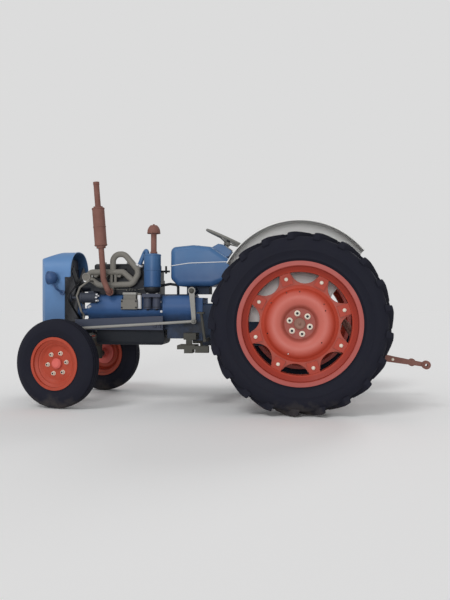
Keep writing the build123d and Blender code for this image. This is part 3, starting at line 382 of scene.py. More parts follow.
@dataclass(frozen=True)
class Finish(Surface):
    """Worn paint, casting, rust or rubber.

    Attributes:
        name: Material name.
        base: Main colour.
        faded: Colour of the faded patches.
        chip: Colour under the chips.
        fade: How much fades.
        chips: How much is chipped.
        rough: Roughness of the unworn surface.
        grain: Scale of the fine grain.
        bump: Strength of the grain.
        metal: Metallic value.
        wear: How far the edges are worn.
        soft: Radius of the softened edges in metres.
        shine: Specular level.
        slot: Material slot of the record for pieces in this finish.
        dirt: Dirt by height, which on the cowl, tank and engine is painted shade.
        painted_rings: Bands of painted highlight and painted shade by radius on a wheel.
    """

    name: str
    base: str
    faded: str
    chip: str
    fade: float
    chips: float
    rough: float
    grain: float
    bump: float
    metal: float = 0.0
    wear: float = 0.35
    soft: float = 0.004
    shine: float = 0.3
    slot: str = "bare_steel"
    dirt: tuple[Dirt, ...] = ()
    painted_rings: tuple[PaintedRingShading, ...] = ()

    def inputs(self, sheet: NodeSheet, place: Socket) -> dict[str, object]:
        """Wear the finish down.

        Args:
            sheet: Sheet of the material.
            place: Place on the object, in metres.

        Returns:
            Values or sockets by the shader's own names.
        """
        edges = sheet.group(Effects.edges(), Vector=place, Width=self.soft, Wear=self.wear)
        worn = sheet.group(
            Effects.weathering(), Vector=place, Worn=edges["Mask"], Base=paint(self.base),
            Faded=paint(self.faded), Chip=paint(self.chip), Fade=self.fade, Chips=self.chips,
            Rough=self.rough, Grain=self.grain,
        )
        colour = worn["Color"]
        # Bands of painted highlight and painted shade about the wheel's axle.
        for painted_band in self.painted_rings:
            colour = sheet.group(
                Effects.painted_ring_shading(), Vector=place, Color=colour, Tint=paint(painted_band.colour), Axle=painted_band.axle,
                Plain=painted_band.plain, Full=painted_band.full, Amount=painted_band.amount,
            )["Color"]
        # Dirt by height; on the cowl, tank and engine this layer is painted shade.
        for dirt in self.dirt:
            colour = sheet.group(
                Effects.grime_and_shade(), Vector=place, Color=colour, Dirt=paint(dirt.colour), Clean=dirt.clean,
                Dirty=dirt.dirty, Amount=dirt.amount, Patchy=dirt.patchy,
            )["Color"]
        normal = sheet.bump(self.bump, GRAIN_DEPTH, Height=worn["Height"], Normal=edges["Normal"])
        looks = {"Base Color": colour, "Roughness": worn["Roughness"], "Normal": normal}
        return {**looks, "Metallic": self.metal, "Specular IOR Level": self.shine}


@dataclass(frozen=True)
class LampGlass(Surface):
    """Pressed glass of the lamps, with upright ribs."""

    name: str = "lamp_glass"
    colour: Colour = (0.82, 0.86, 0.9, 1.0)
    rib_scale: float = 45.0

    def inputs(self, sheet: NodeSheet, place: Socket) -> dict[str, object]:
        """Rib the glass.

        Args:
            sheet: Sheet of the material.
            place: Place on the object, in metres.

        Returns:
            Values or sockets by the shader's own names.
        """
        normal = sheet.bump(0.5, GRAIN_DEPTH, Height=sheet.wave(place, self.rib_scale, "Y"))
        looks = {"Base Color": self.colour, "Roughness": 0.12, "Normal": normal}
        return {**looks, "Transmission Weight": 0.6, "IOR": 1.5}


@dataclass(frozen=True)
class CoreFins(Surface):
    """Dark finned core of the radiator."""

    name: str = "core_fins"
    colour: Colour = (0.021, 0.023, 0.033, 1.0)
    edge: Colour = (0.06, 0.065, 0.085, 1.0)
    fin_scale: float = 52.0
    tube_scale: float = 14.0

    def inputs(self, sheet: NodeSheet, place: Socket) -> dict[str, object]:
        """Cross fins and tubes.

        Args:
            sheet: Sheet of the material.
            place: Place on the object, in metres.

        Returns:
            Values or sockets by the shader's own names.
        """
        tubes = sheet.ramp(sheet.wave(place, self.tube_scale, "Y"), 0.1, 0.5)
        lines = sheet.times(sheet.wave(place, self.fin_scale, "Z"), tubes)
        normal = sheet.bump(0.6, 0.003, Height=lines)
        colour = sheet.mix(lines, self.colour, self.edge)
        return {"Base Color": colour, "Roughness": 0.55, "Normal": normal, "Metallic": 0.2}


# The second colour is soot in chips and in the exhaust's bore, and the painted shade on the engine.
MUD, SOOT_AND_SHADE, RUST, PRIMER = "6f675c", "15171c", "6b3f30", "8d8a86"
TYRE = Finish(
    "tyre_rubber", "161722", "1e1f2b", "2b2c35", 0.6, 0.1, 0.74, 420.0, 0.2, wear=0.25, shine=0.2,
    slot="tyre", dirt=(Dirt(MUD, 0.14, 0.0, 0.3, 0.3),),
)
# Wheel red with painted light: a pale painted highlight on the disc's bulge inside 0.27 m, painted shade in
# the hub's recess inside 0.156 m and at the scallops beyond 0.288 m.
WHEEL_RED = Finish(
    "wheel_red", "ae3d29", "b54c3b", RUST, 0.6, 0.12, 0.42, 300.0, 0.08,
    painted_rings=(
        PaintedRingShading("c8766c", 0.27, 0.2, 0.6),
        PaintedRingShading("7d3226", 0.156, 0.128, 0.7),
        PaintedRingShading("6c4136", 0.288, 0.318, 0.3),
    ),
)
FRONT_RED = Finish(
    "front_red", "a53c27", "b8533f", RUST, 0.6, 0.12, 0.42, 300.0, 0.08, dirt=(Dirt(MUD, 0.25, 0.1, 0.3),)
)
# Rim red with painted light: painted shade in the rim's well beyond 0.405 m and a pale painted highlight on
# the flange beyond 0.448 m.
RIM_RED = Finish(
    "rim_red", "a63723", "ab4535", RUST, 0.6, 0.14, 0.46, 300.0, 0.08,
    painted_rings=(PaintedRingShading("8f2c1f", 0.405, 0.42, 0.7), PaintedRingShading("a5514b", 0.448, 0.456, 0.9)),
)
HUB_METAL = Finish("hub_metal", "8a6153", "7a6a62", "4a3a34", 0.6, 0.3, 0.5, 240.0, 0.2, slot="hub_metal")
HUB_ROSE = Finish("hub_rose", "d4625a", "d97067", RUST, 0.6, 0.2, 0.45, 260.0, 0.12)
NUT_CREAM = Finish("nut_cream", "e2dacb", "cfc6b6", RUST, 0.4, 0.12, 0.38, 500.0, 0.05, soft=0.0015)
BOLT_DARK = Finish("bolt_dark", "1c1e24", "303238", RUST, 0.5, 0.2, 0.45, 400.0, 0.1, 0.3, soft=0.0015)
SOOT_BLACK = Finish("soot_black", SOOT_AND_SHADE, "0c0d10", "2b2420", 0.6, 0.2, 0.85, 200.0, 0.3)
# Cowl blue is a lighter, lit copy of the body blue: painted light. It darkens from 1.12 m down to 0.72 m:
# painted shade.
COWL_BLUE = Finish(
    "cowl_blue", "5981b1", "648cbb", PRIMER, 0.55, 0.06, 0.38, 320.0, 0.06, slot="body_blue",
    dirt=(Dirt("466891", 1.12, 0.72, 0.9, 0.15),),
)
# Lamp blue is a darker, shaded copy of the body blue: painted shade.
LAMP_BLUE = Finish("lamp_blue", "314e79", "3b5882", PRIMER, 0.5, 0.08, 0.38, 320.0, 0.06, slot="body_blue")
# Tank blue darkens from 1.3 m down to 1.1 m: painted shade on the tank's lower half.
TANK_BLUE = Finish(
    "tank_blue", "426893", "4b719d", PRIMER, 0.5, 0.05, 0.38, 320.0, 0.06, slot="body_blue",
    dirt=(Dirt("2d507d", 1.3, 1.1, 0.95, 0.15),),
)
# Engine blue darkens below 0.8 m and goes nearly black above 0.953 m: painted shade on the top and bottom of
# the rounded crankcase.
ENGINE_BLUE = Finish(
    "engine_blue", "335585", "3f6291", SOOT_AND_SHADE, 0.6, 0.3, 0.46, 190.0, 0.3,
    dirt=(Dirt(SOOT_AND_SHADE, 0.8, 0.7, 0.95, 0.3), Dirt(SOOT_AND_SHADE, 0.936, 0.953, 0.97, 0.0)),
)
HOUSING_BLUE = Finish(
    "housing_blue", "1c2a3e", "293a54", SOOT_AND_SHADE, 0.6, 0.5, 0.52, 170.0, 0.35, slot="dark_casting",
    dirt=(Dirt(SOOT_AND_SHADE, 0.75, 0.5, 0.85),),
)
DARK_CASTING = Finish(
    "dark_casting", "171b23", "242a33", "3b3531", 0.6, 0.4, 0.58, 170.0, 0.35, slot="dark_casting"
)
BLACK_OIL = Finish(
    "black_oil", "101217", "1b1e24", "35302c", 0.6, 0.35, 0.45, 170.0, 0.3, slot="dark_casting"
)
RAIL_PAINT = Finish("rail_paint", "3a4051", "464b5b", RUST, 0.6, 0.18, 0.52, 240.0, 0.15)
SLATE = Finish("slate_paint", "2d323e", "383d49", PRIMER, 0.5, 0.15, 0.5, 240.0, 0.2, slot="dark_casting")
RUSTY = Finish("rusty_steel", "845d54", "6d4a42", "986f61", 0.9, 0.6, 0.78, 150.0, 0.5, slot="rusty_steel")
WARM_GREY = Finish("warm_grey", "7f7c76", "6f6c65", "4f3a30", 0.7, 0.25, 0.7, 150.0, 0.5)
PUMP_GREY = Finish("pump_grey", "76736d", "696661", "4d4a46", 0.6, 0.25, 0.5, 240.0, 0.25)
PALE_STEEL = Finish("pale_steel", "999894", "888680", RUST, 0.6, 0.2, 0.5, 240.0, 0.2)
GRIP_GREY = Finish("grip_grey", "7d7c77", "6b6a66", SOOT_AND_SHADE, 0.6, 0.2, 0.5, 240.0, 0.15)
# Fender grey is near white, lighter than the fenders' own pale grey: painted light that offsets their shade.
FENDER_GREY = Finish(
    "fender_grey", "e8e8e6", "dcdcda", RUST, 0.55, 0.08, 0.58, 280.0, 0.08, slot="fender_grey"
)
STEP_OLIVE = Finish("step_olive", "454540", "55534d", RUST, 0.6, 0.35, 0.6, 200.0, 0.3, slot="dark_casting")
# White trim, which also whitens the tank's seam bead as a painted highlight.
WHITE_TRIM_AND_HIGHLIGHT = Finish("white_trim_and_highlight", "dcdde0", "c9cacd", SOOT_AND_SHADE, 0.4, 0.08, 0.4, 300.0, 0.05, soft=0.0015)
BELT = Finish("belt_rubber", "121317", "1d1f24", "2b2b2b", 0.5, 0.1, 0.72, 400.0, 0.15, slot="belt_rubber")

NODE_FINISHES: tuple[tuple[Surface, str], ...] = (
    (TYRE, "rear_tyre_left rear_tyre_right front_tyre_left front_tyre_right"),
    (WHEEL_RED, "rear_disc_left rear_disc_right"),
    (FRONT_RED, "front_wheel_left front_wheel_right"),
    (RIM_RED, "rear_rim_left rear_rim_right"),
    (HUB_METAL, "rear_hub_left rear_hub_right"),
    (HUB_ROSE, "front_hub_left front_hub_right"),
    (COWL_BLUE, "radiator_cowl"),
    (LAMP_BLUE, "headlamps"),
    (LampGlass(), "lamp_lenses"),
    (CoreFins(), "radiator"),
    (TANK_BLUE, "fuel_tank dash air_cleaner"),
    (ENGINE_BLUE, "engine_block clutch_housing"),
    (HOUSING_BLUE, "gearbox axle_housing hydraulic_housing steering_box"),
    (DARK_CASTING, "oil_pan front_bolster fan"),
    (BLACK_OIL, "cylinder_head driver_pan pan_leaf"),
    (RAIL_PAINT, "fuel_filters side_rails"),
    (SLATE, "dynamo"),
    (RUSTY, "exhaust_stack intake_stack lower_link_left lower_link_right lift_rods"),
    (WARM_GREY, "manifold vent_pipe"),
    (PUMP_GREY, "injection_pump"),
    (PALE_STEEL, "drop_arm drag_link track_rod pto_shaft lift_arms"),
    (GRIP_GREY, "steering_wheel"),
    (FENDER_GREY, "fender_left fender_right"),
    (STEP_OLIVE, "front_axle_beam knuckle_left knuckle_right foot_plates controls"),
    (BELT, "fan_belt"),
)


class Bench:
    """Modelling steps that the sub-assemblies share. Pieces are made about the origin, along +Y."""

    @staticmethod
    def mode(name: str) -> None:
        """Go to edit or object mode."""
        bpy.ops.object.mode_set(mode=name)

    @staticmethod
    def apply() -> None:
        """Move the active piece's place, turn and scale into its mesh."""
        bpy.ops.object.transform_apply(location=True, rotation=True, scale=True)

    @staticmethod
    def clear() -> None:
        """Go to object mode and deselect everything."""
        if bpy.context.object and bpy.context.object.mode != "OBJECT":
            Bench.mode("OBJECT")
        bpy.ops.object.select_all(action="DESELECT")

    @staticmethod
    def take(piece: Piece) -> None:
        """Select one piece alone and make it active.

        Args:
            piece: The piece.
        """
        Bench.clear()
        piece.select_set(True)
        bpy.context.view_layer.objects.active = piece

    @staticmethod
    def choose(items: str, test: Callable[[object], bool]) -> None:
        """Select what passes a test in the edited mesh.

        Args:
            items: Either verts or faces.
            test: Says whether one of them is selected.
        """
        mesh = bpy.context.object.data
        for item in getattr(bmesh.from_edit_mesh(mesh), items):
            item.select_set(test(item))
        bmesh.update_edit_mesh(mesh)

    @staticmethod
    def chain(name: str, points: Sequence[Sequence[float]], closed: bool = False) -> Piece:
        """Draw a line of points by extruding one vertex.

        Args:
            name: Name of the piece.
            points: Points in metres.
            closed: Whether the last point joins the first.

        Returns:
            The wire, left in edit mode with everything selected.
        """
        Bench.clear()
        bpy.ops.mesh.primitive_plane_add(size=0.001)
        piece = bpy.context.object
        piece.name = name
        Bench.mode("EDIT")
        bpy.ops.mesh.merge(type="CENTER")
        bpy.ops.transform.translate(value=tuple(points[0]))
        for before, after in zip(points, points[1:]):
            step = tuple(Vector(after) - Vector(before))
            bpy.ops.mesh.extrude_region_move(TRANSFORM_OT_translate={"value": step})
        if closed:
            Bench.choose("verts", lambda vertex: len(vertex.link_edges) == 1)
            bpy.ops.mesh.edge_face_add()
        bpy.ops.mesh.select_all(action="SELECT")
        return piece

    @staticmethod
    def heal() -> None:
        """Merge doubles, turn the faces outwards and leave edit mode."""
        bpy.ops.mesh.select_all(action="SELECT")
        bpy.ops.mesh.remove_doubles(threshold=1e-5)
        bpy.ops.mesh.normals_make_consistent(inside=False)
        Bench.mode("OBJECT")

    @staticmethod
    def lathe(name: str, rows: Sequence[Pair], steps: int, closed: bool = False) -> Piece:
        """Spin a profile about Y.

        Args:
            name: Name of the piece.
            rows: Radius and place along Y of each profile point.
            steps: Steps round the axis.
            closed: Whether the profile ends where it starts.

        Returns:
            The closed piece, in object mode.
        """
        rows = [*rows, rows[0]] if closed else rows
        piece = Bench.chain(name, [(radius / 1000, along / 1000, 0.0) for radius, along in rows])
        bpy.ops.mesh.remove_doubles(threshold=1e-6)
        bpy.ops.mesh.select_all(action="SELECT")
        bpy.ops.mesh.spin(steps=steps, angle=2 * pi, center=(0, 0, 0), axis=(0, 1, 0))
        Bench.heal()
        return piece

    @staticmethod
    def pipe(name: str, route: Sequence[Point], radius: float, bend: float, closed: bool = False) -> Piece:
        """Round pipe along drawing points with rounded corners.

        Args:
            name: Name of the piece.
            route: Corners of the route.
            radius: Outside radius.
            bend: How far each corner is cut back before it is rounded, or 0.
            closed: Whether the pipe is a loop.

        Returns:
            The pipe as a closed mesh, at its place.
        """
        Bench.chain(name, [at(*point) for point in route], closed)
        Bench.choose("verts", lambda vertex: len(vertex.link_edges) == 2)
        if bend:
            bpy.ops.mesh.bevel(offset=bend / 1000, offset_type="OFFSET", segments=6, affect="VERTICES")
        Bench.mode("OBJECT")
        bpy.ops.object.convert(target="CURVE")
        curve = bpy.context.object.data
        curve.dimensions = "3D"
        curve.bevel_depth = radius / 1000
        curve.bevel_resolution = 5
        curve.use_fill_caps = True
        bpy.ops.object.convert(target="MESH")
        Bench.mode("EDIT")
        Bench.heal()
        return bpy.context.object

    @staticmethod
    def two_tone(
        piece: Piece, main: Finish, other: Finish, test: Callable[[Vector], bool]
    ) -> None:
        """Give a piece two finishes.

        Args:
            piece: A piece without finish.
            main: Finish of most faces.
            other: Finish of the faces that pass the test.
            test: Takes the middle of a face in metres.
        """
        for finish in (main, other):
            piece.data.materials.append(finish.material())
        for polygon in piece.data.polygons:
            polygon.material_index = int(test(polygon.center))

    @staticmethod
    def bolt(name: str, radius: float, height: float, finish: Finish, hollow: float = 0.0) -> Piece:
        """Six-sided head on a washer.

        Args:
            name: Name of the piece.
            radius: Radius over the corners.
            height: Height of the head.
            finish: Finish of the head and washer.
            hollow: Radius of a dark recess in its end, or 0.

        Returns:
            The bolt with its finishes, in object mode.
        """
        rim, lip, foot, top = radius * 1.28, radius * 1.18, height * 0.14, height * 0.22
        washer = Bench.lathe(f"{name}_washer", [(0, 0), (rim, 0), (rim, foot), (lip, top), (0, top)], 16)
        washer.data.materials.append(finish.material())
        radius, height, hollow = radius / 1000, height / 1000, hollow / 1000
        chamfer, rise, sink = radius * 0.12, height * 0.08, height * 0.4
        Bench.clear()
        bpy.ops.mesh.primitive_cylinder_add(
            vertices=6, radius=radius, depth=height, location=(0, height * 0.7, 0), rotation=(-pi / 2, 0, 0)
        )
        head = bpy.context.object
        Bench.apply()
        Bench.mode("EDIT")
        Bench.choose("faces", lambda face: face.normal.y > 0.9)
        bpy.ops.mesh.inset(thickness=chamfer)
        bpy.ops.transform.translate(value=(0, rise, 0))
        if hollow:
            bpy.ops.mesh.inset(thickness=max(radius * 0.76 - hollow, 0.0005))
            bpy.ops.mesh.extrude_region_move(TRANSFORM_OT_translate={"value": (0, -sink, 0)})
        Bench.mode("OBJECT")
        low, high, reach = height * 0.5, height * 1.27, hollow * 1.05
        if hollow:
            Bench.two_tone(head, finish, BOLT_DARK, lambda c: c.xz.length < reach and low < c.y < high)
        else:
            head.data.materials.append(finish.material())
        return Bench.join(name, [head, washer])

    @staticmethod
    def bolted(
        name: str, radius: float, height: float, finish: Finish, places: Sequence[Matrix],
        body: str = "chassis", slot: str = "bare_steel",
    ) -> None:
        """Model one bolt and put it at several places.

        Args:
            name: Name of the piece.
            radius: Radius over the corners.
            height: Height of the head.
            finish: Finish of the bolts.
            places: One matrix for each bolt.
            body: Body that carries them.
            slot: Material slot of the record.
        """
        Bench.fit(Bench.bolt(name, radius, height, finish), places, finish, body, slot)

    @staticmethod
    def hoop(name: str, inner: float, outer: float, width: float, steps: int) -> Piece:
        """Ring about Y with rounded outer edges.

        Args:
            name: Name of the piece.
            inner: Inside radius.
            outer: Outside radius.
            width: Width along Y.
            steps: Steps round the axis.

        Returns:
            The ring, in object mode.
        """
        half, cut = width / 2, min((outer - inner) / 2, width / 4)
        upper = [(outer, half - cut), (outer - cut, half), (inner, half)]
        lower = [(radius, -along) for radius, along in reversed(upper)]
        return Bench.lathe(name, lower + upper, steps, closed=True)

    @staticmethod
    def slab(name: str, low: Vector, high: Vector, edge: float) -> Piece:
        """Bevelled plate between two opposite corners.

        Args:
            name: Name of the piece.
            low: One corner in metres.
            high: The opposite corner in metres.
            edge: Width of the rounded edges.

        Returns:
            The plate, in object mode.
        """
        Bench.clear()
        bpy.ops.mesh.primitive_cube_add(size=1.0, location=(low + high) / 2)
        plate = bpy.context.object
        plate.name = name
        plate.scale = [abs(b - a) for a, b in zip(low, high)]
        Bench.apply()
        return Bench.bevel(plate, edge, 2)

    @staticmethod
    def join(name: str, pieces: Sequence[Piece]) -> Piece:
        """Join pieces into the first one and name it.

        Args:
            name: Name of the joined piece.
            pieces: The pieces, in order.

        Returns:
            The joined piece.
        """
        Bench.take(pieces[0])
        for piece in pieces[1:]:
            piece.select_set(True)
        if len(pieces) > 1:
            bpy.ops.object.join()
        joined = bpy.context.object
        joined.name = name
        joined.data.name = name
        return joined

    @staticmethod
    def copies(piece: Piece, places: Sequence[Matrix]) -> Piece:
        """Copy a small piece to several places in one mesh.

        Args:
            piece: The piece modelled at the origin.
            places: One matrix for each copy.

        Returns:
            All copies as one piece, and the first one is gone.
        """
        made = []
        for place in places:
            Bench.take(piece)
            bpy.ops.object.duplicate()
            made.append(bpy.context.object)
            made[-1].matrix_world = place
            Bench.apply()
        name, mesh = piece.name, piece.data
        bpy.data.objects.remove(piece)
        bpy.data.meshes.remove(mesh)
        return Bench.join(name, made)

    @staticmethod
    def ringed(piece: Piece, count: int) -> Piece:
        """Repeat a piece round the Y axis through the origin.

        Args:
            piece: The piece, away from the axis.
            count: How many there are in the ring.

        Returns:
            The whole ring as one piece.
        """
        Bench.take(piece)
        Bench.mode("EDIT")
        bpy.ops.mesh.select_all(action="SELECT")
        sweep = 2 * pi * (count - 1) / count
        bpy.ops.mesh.spin(steps=count - 1, angle=sweep, dupli=True, center=(0, 0, 0), axis=(0, 1, 0))
        Bench.mode("OBJECT")
        return piece

    @staticmethod
    def bevel(piece: Piece, width: float, segments: int) -> Piece:
        """Round the sharp edges of a piece with an applied bevel.

        Args:
            piece: The piece.
            width: Width of the bevel.
            segments: Steps across the bevel.

        Returns:
            The same piece.
        """
        Bench.take(piece)
        modifier = piece.modifiers.new("bevel", "BEVEL")
        modifier.width = width / 1000
        modifier.segments = segments
        modifier.limit_method = "ANGLE"
        modifier.angle_limit = radians(SHARP_ANGLE)
        bpy.ops.object.modifier_apply(modifier=modifier.name)
        return piece

    @staticmethod
    def place(piece: Piece, matrix: Matrix) -> Piece:
        """Move a piece's mesh by a matrix and keep its object at the origin.

        Args:
            piece: The piece.
            matrix: Where it goes, which may mirror it.

        Returns:
            The same piece.
        """
        Bench.take(piece)
        piece.matrix_world = matrix
        Bench.apply()
        if matrix.determinant() < 0:
            Bench.mode("EDIT")
            bpy.ops.mesh.select_all(action="SELECT")
            bpy.ops.mesh.normals_make_consistent(inside=False)
            Bench.mode("OBJECT")
        return piece

    @staticmethod
    def dress(piece: Piece, finish: Finish, body: str = "chassis", slot: str = "") -> None:
        """Give a piece smooth shading, its body, and a finish if it has none.

        Args:
            piece: The finished piece, at its place.
            finish: Its finish.
            body: Body that carries it.
            slot: Material slot of the record, if it isn't the finish's own; not used.
        """
        Bench.take(piece)
        if not piece.data.materials:
            piece.data.materials.append(finish.material())
        bpy.ops.object.shade_smooth_by_angle(angle=radians(SMOOTH_ANGLE))
        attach(piece, body)
        slot or finish.slot
        LOG.info("%s rides on %s, %d faces", piece.name, body, len(piece.data.polygons))

    @staticmethod
    def fit(
        piece: Piece, places: Sequence[Matrix], finish: Finish, body: str = "chassis", slot: str = ""
    ) -> None:
        """Copy a piece to its places and dress it, with the arguments of copies and dress."""
        Bench.dress(Bench.copies(piece, places), finish, body, slot)


def facing(point: Vector, direction: Sequence[float], spin: float = 0.0) -> Matrix:
    """Matrix that puts a piece made along +Y at a point, along a direction.

    Args:
        point: Where its foot goes, in metres.
        direction: Where its +Y goes.
        spin: Turn about its own axis in degrees.

    Returns:
        The placing matrix.
    """
    turn = Vector((0, 1, 0)).rotation_difference(Vector(direction).normalized()).to_matrix().to_4x4()
    return Matrix.Translation(point) @ turn @ Matrix.Rotation(radians(spin), 4, "Y")


def spots(points: Sequence[Point], direction: Sequence[float], spun: bool = False) -> list[Matrix]:
    """Places at drawing points along one direction.

    Args:
        points: The drawing points.
        direction: Where the pieces' +Y goes.
        spun: Whether each one is spun by its X in degrees, so that heads don't line up.

    Returns:
        One matrix for each point.
    """
    return [facing(at(*point), direction, point[0] if spun else 0.0) for point in points]


def outward(points: Sequence[Point]) -> list[Matrix]:
    """Places at drawing points that face away from the tractor's middle."""
    return [facing(at(*point), (0, point[1], 0)) for point in points]


def mirrored(points: Sequence[Point]) -> list[Point]:
    """Drawing points on the left, each with its mirror image on the right."""
    return [(x, side.value * y, z) for x, y, z in points for side in Side]


def ring(radius: float, degrees: Sequence[float]) -> list[Pair]:
    """Points on a circle about 0, at angles in degrees."""
    return [(radius * cos(radians(angle)), radius * sin(radians(angle))) for angle in degrees]


def arc(first: Pair, middle: Pair, last: Pair, steps: int) -> list[Pair]:
    """Points along the circle through three points.

    Args:
        first: Where the arc starts.
        middle: A point that it passes.
        last: Where it ends.
        steps: Number of steps.

    Returns:
        The points, both ends included.
    """
    a, b, c = (complex(*point) for point in (first, middle, last))
    ratio = (c - a) / (b - a)
    centre = a + (b - a) * (ratio - abs(ratio) ** 2) / (ratio - ratio.conjugate())
    spoke = a - centre
    half, whole = phase((b - centre) / spoke), phase((c - centre) / spoke)
    if half * whole < 0:
        whole += 2 * pi if half > 0 else -2 * pi
    points = [centre + spoke * rect(1, whole * step / steps) for step in range(steps + 1)]
    return [(point.real, point.imag) for point in points]


@dataclass
class Wheel:
    """What the driven and the steered wheels share.

    Attributes:
        side: Side of the tractor.
        axle: Word of its nodes and bodies, rear or front.
        nut_name: First part of the nuts' name.
        nut: Radius, height and recess of a nut.
        nut_seat: Circle and face of the nuts, and their phase in degrees.
        casing: Radius and half width of the tyre's points.
    """

    side: Side
    axle: str
    nut_name: str
    nut: Point
    nut_seat: Point
    casing: tuple[Pair, ...]

    @property
    def body(self) -> str:
        """Name of the wheel's body."""
        return f"{self.axle}_wheel_{self.side.word}"

    @property
    def matrix(self) -> Matrix:
        """Matrix from the wheel's own axes, outer side along +Y, to the frame."""
        raise NotImplementedError

    def casing_rows(self) -> list[Pair]:
        """Closed profile of the tyre."""
        return [*self.casing, *((radius, -width) for radius, width in reversed(self.casing))]

    def fit_tyre(self, tyre: Piece) -> None:
        """Put a tyre in the place of the solid one.

        Args:
            tyre: The tyre about the origin, with its outer side along +Y.
        """
        Bench.place(tyre, self.matrix)
        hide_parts(f"{self.axle}_tyre_{self.side.word}")
        Bench.dress(tyre, TYRE, self.body)

    def nuts(self) -> None:
        """Put six nuts on the hub's studs."""
        radius, height, recess = self.nut
        circle, face, turn = self.nut_seat
        nut = Bench.bolt(f"{self.nut_name}_{self.side.word}", radius, height, NUT_CREAM, recess)
        Bench.place(nut, Matrix.Translation((circle / 1000, face / 1000, 0.0)))
        Bench.place(Bench.ringed(nut, 6), self.matrix @ Matrix.Rotation(radians(turn), 4, "Y"))
        Bench.dress(nut, NUT_CREAM, self.body, "hub_metal")


@dataclass
class RearWheel(Wheel):
    """Big driven wheel: lugged tyre, rim bolts, hub nuts and hub cap."""

    axle: str = "rear"
    nut_name: str = "hub_nuts"
    nut: Point = (18.5, 20, 10.5)
    nut_seat: Point = (82, 30, -17)
    casing: tuple[Pair, ...] = (
        (459, 119), (478, 119.2), (492, 121), (500, 126), (505, 131), (510, 130), (530, 137), (560, 144),
        (566, 147.5), (571, 145.5), (594, 148.5), (618, 146), (644, 134), (662, 122), (672, 111), (677, 90),
        (679, 40),
    )
    track: float = 1392.0
    radius: float = 715.0
    lug_pairs: int = 21
    bolt_circle: float = 360.0
    bolt_face: float = 38.0
    bolt_phase: float = 28.0
    cap_face: float = 46.0

    @property
    def matrix(self) -> Matrix:
        """Matrix from the wheel's own axes, outer side along +Y, to the frame."""
        centre = at(0, self.side.value * self.track / 2, self.radius)
        return Matrix.Translation(centre) @ Matrix.Scale(self.side.value, 4, (0, 1, 0))

    def build(self) -> None:
        """Model the wheel's pieces and dress them."""
        self.tyre()
        self.bolts()
        self.nuts()
        rows = [(0, -2), (44, -2), (44, 3), (38, 6), (34, 4), (15, 4), (12, 7), (6, 8), (5, 14), (0, 15)]
        cap = Bench.lathe(f"hub_cap_{self.side.word}", [(r, y + self.cap_face) for r, y in rows], 40)
        Bench.dress(Bench.place(cap, self.matrix), HUB_METAL, self.body)

    @staticmethod
    def lug() -> Piece:
        """Model one slanting bar of the tread. Its sizes are in metres.

        Returns:
            The bar at the top of the tyre.
        """
        thick, width, middle, centre = 0.05, 0.152, 0.062, 0.683
        knee, shoulder, drop = 0.11, 0.12, 0.006
        slant, tread, depth = 0.15, 0.7135, 0.062
        top_taper, foot_taper = 0.8, 1.12
        Bench.clear()
        bpy.ops.mesh.primitive_cube_add(size=1.0)
        bar = bpy.context.object
        bar.name = "tread_bar"
        Bench.mode("EDIT")
        bpy.ops.transform.resize(value=(thick, width, thick))
        bpy.ops.transform.translate(value=(0, middle, centre))
        for cut in (middle, knee):
            bpy.ops.mesh.select_all(action="SELECT")
            bpy.ops.mesh.bisect(plane_co=(0, cut, 0), plane_no=(0, 1, 0))
        edit = bmesh.from_edit_mesh(bar.data)
        for vertex in edit.verts:
            across, high = vertex.co.y, vertex.co.z > centre
            lean = (across - middle) / width
            vertex.co.x = vertex.co.x * (top_taper if high else foot_taper) + lean * slant
            top = (tread**2 - vertex.co.x**2) ** 0.5
            vertex.co.z = top - (depth if not high else drop if across > shoulder else 0.0)
        bmesh.update_edit_mesh(bar.data)
        Bench.mode("OBJECT")
        return Bench.bevel(bar, 6, 2)

    def tyre(self) -> None:
        """Build the casing with its two staggered rows of bars."""
        casing = Bench.lathe("casing", self.casing_rows(), 126, closed=True)
        near = Bench.ringed(self.lug(), self.lug_pairs)
        Bench.take(near)
        bpy.ops.object.duplicate()
        far = bpy.context.object
        half_step = Matrix.Rotation(pi / self.lug_pairs, 4, "Y")
        Bench.place(far, half_step @ Matrix.Scale(-1, 4, (0, 1, 0)))
        self.fit_tyre(Bench.join(f"lugged_tyre_{self.side.word}", [casing, near, far]))

    def bolts(self) -> None:
        """Bolt the disc to the rim's lugs."""
        bolt = Bench.bolt(f"rim_bolts_{self.side.word}", 11.5, 12, NUT_CREAM)
        ((x, z),) = ring(self.bolt_circle, [self.bolt_phase])
        Bench.place(bolt, Matrix.Translation(Vector((x, self.bolt_face, z)) / 1000))
        Bench.place(Bench.ringed(bolt, 8), self.matrix)
        Bench.dress(bolt, NUT_CREAM, self.body, "hub_metal")


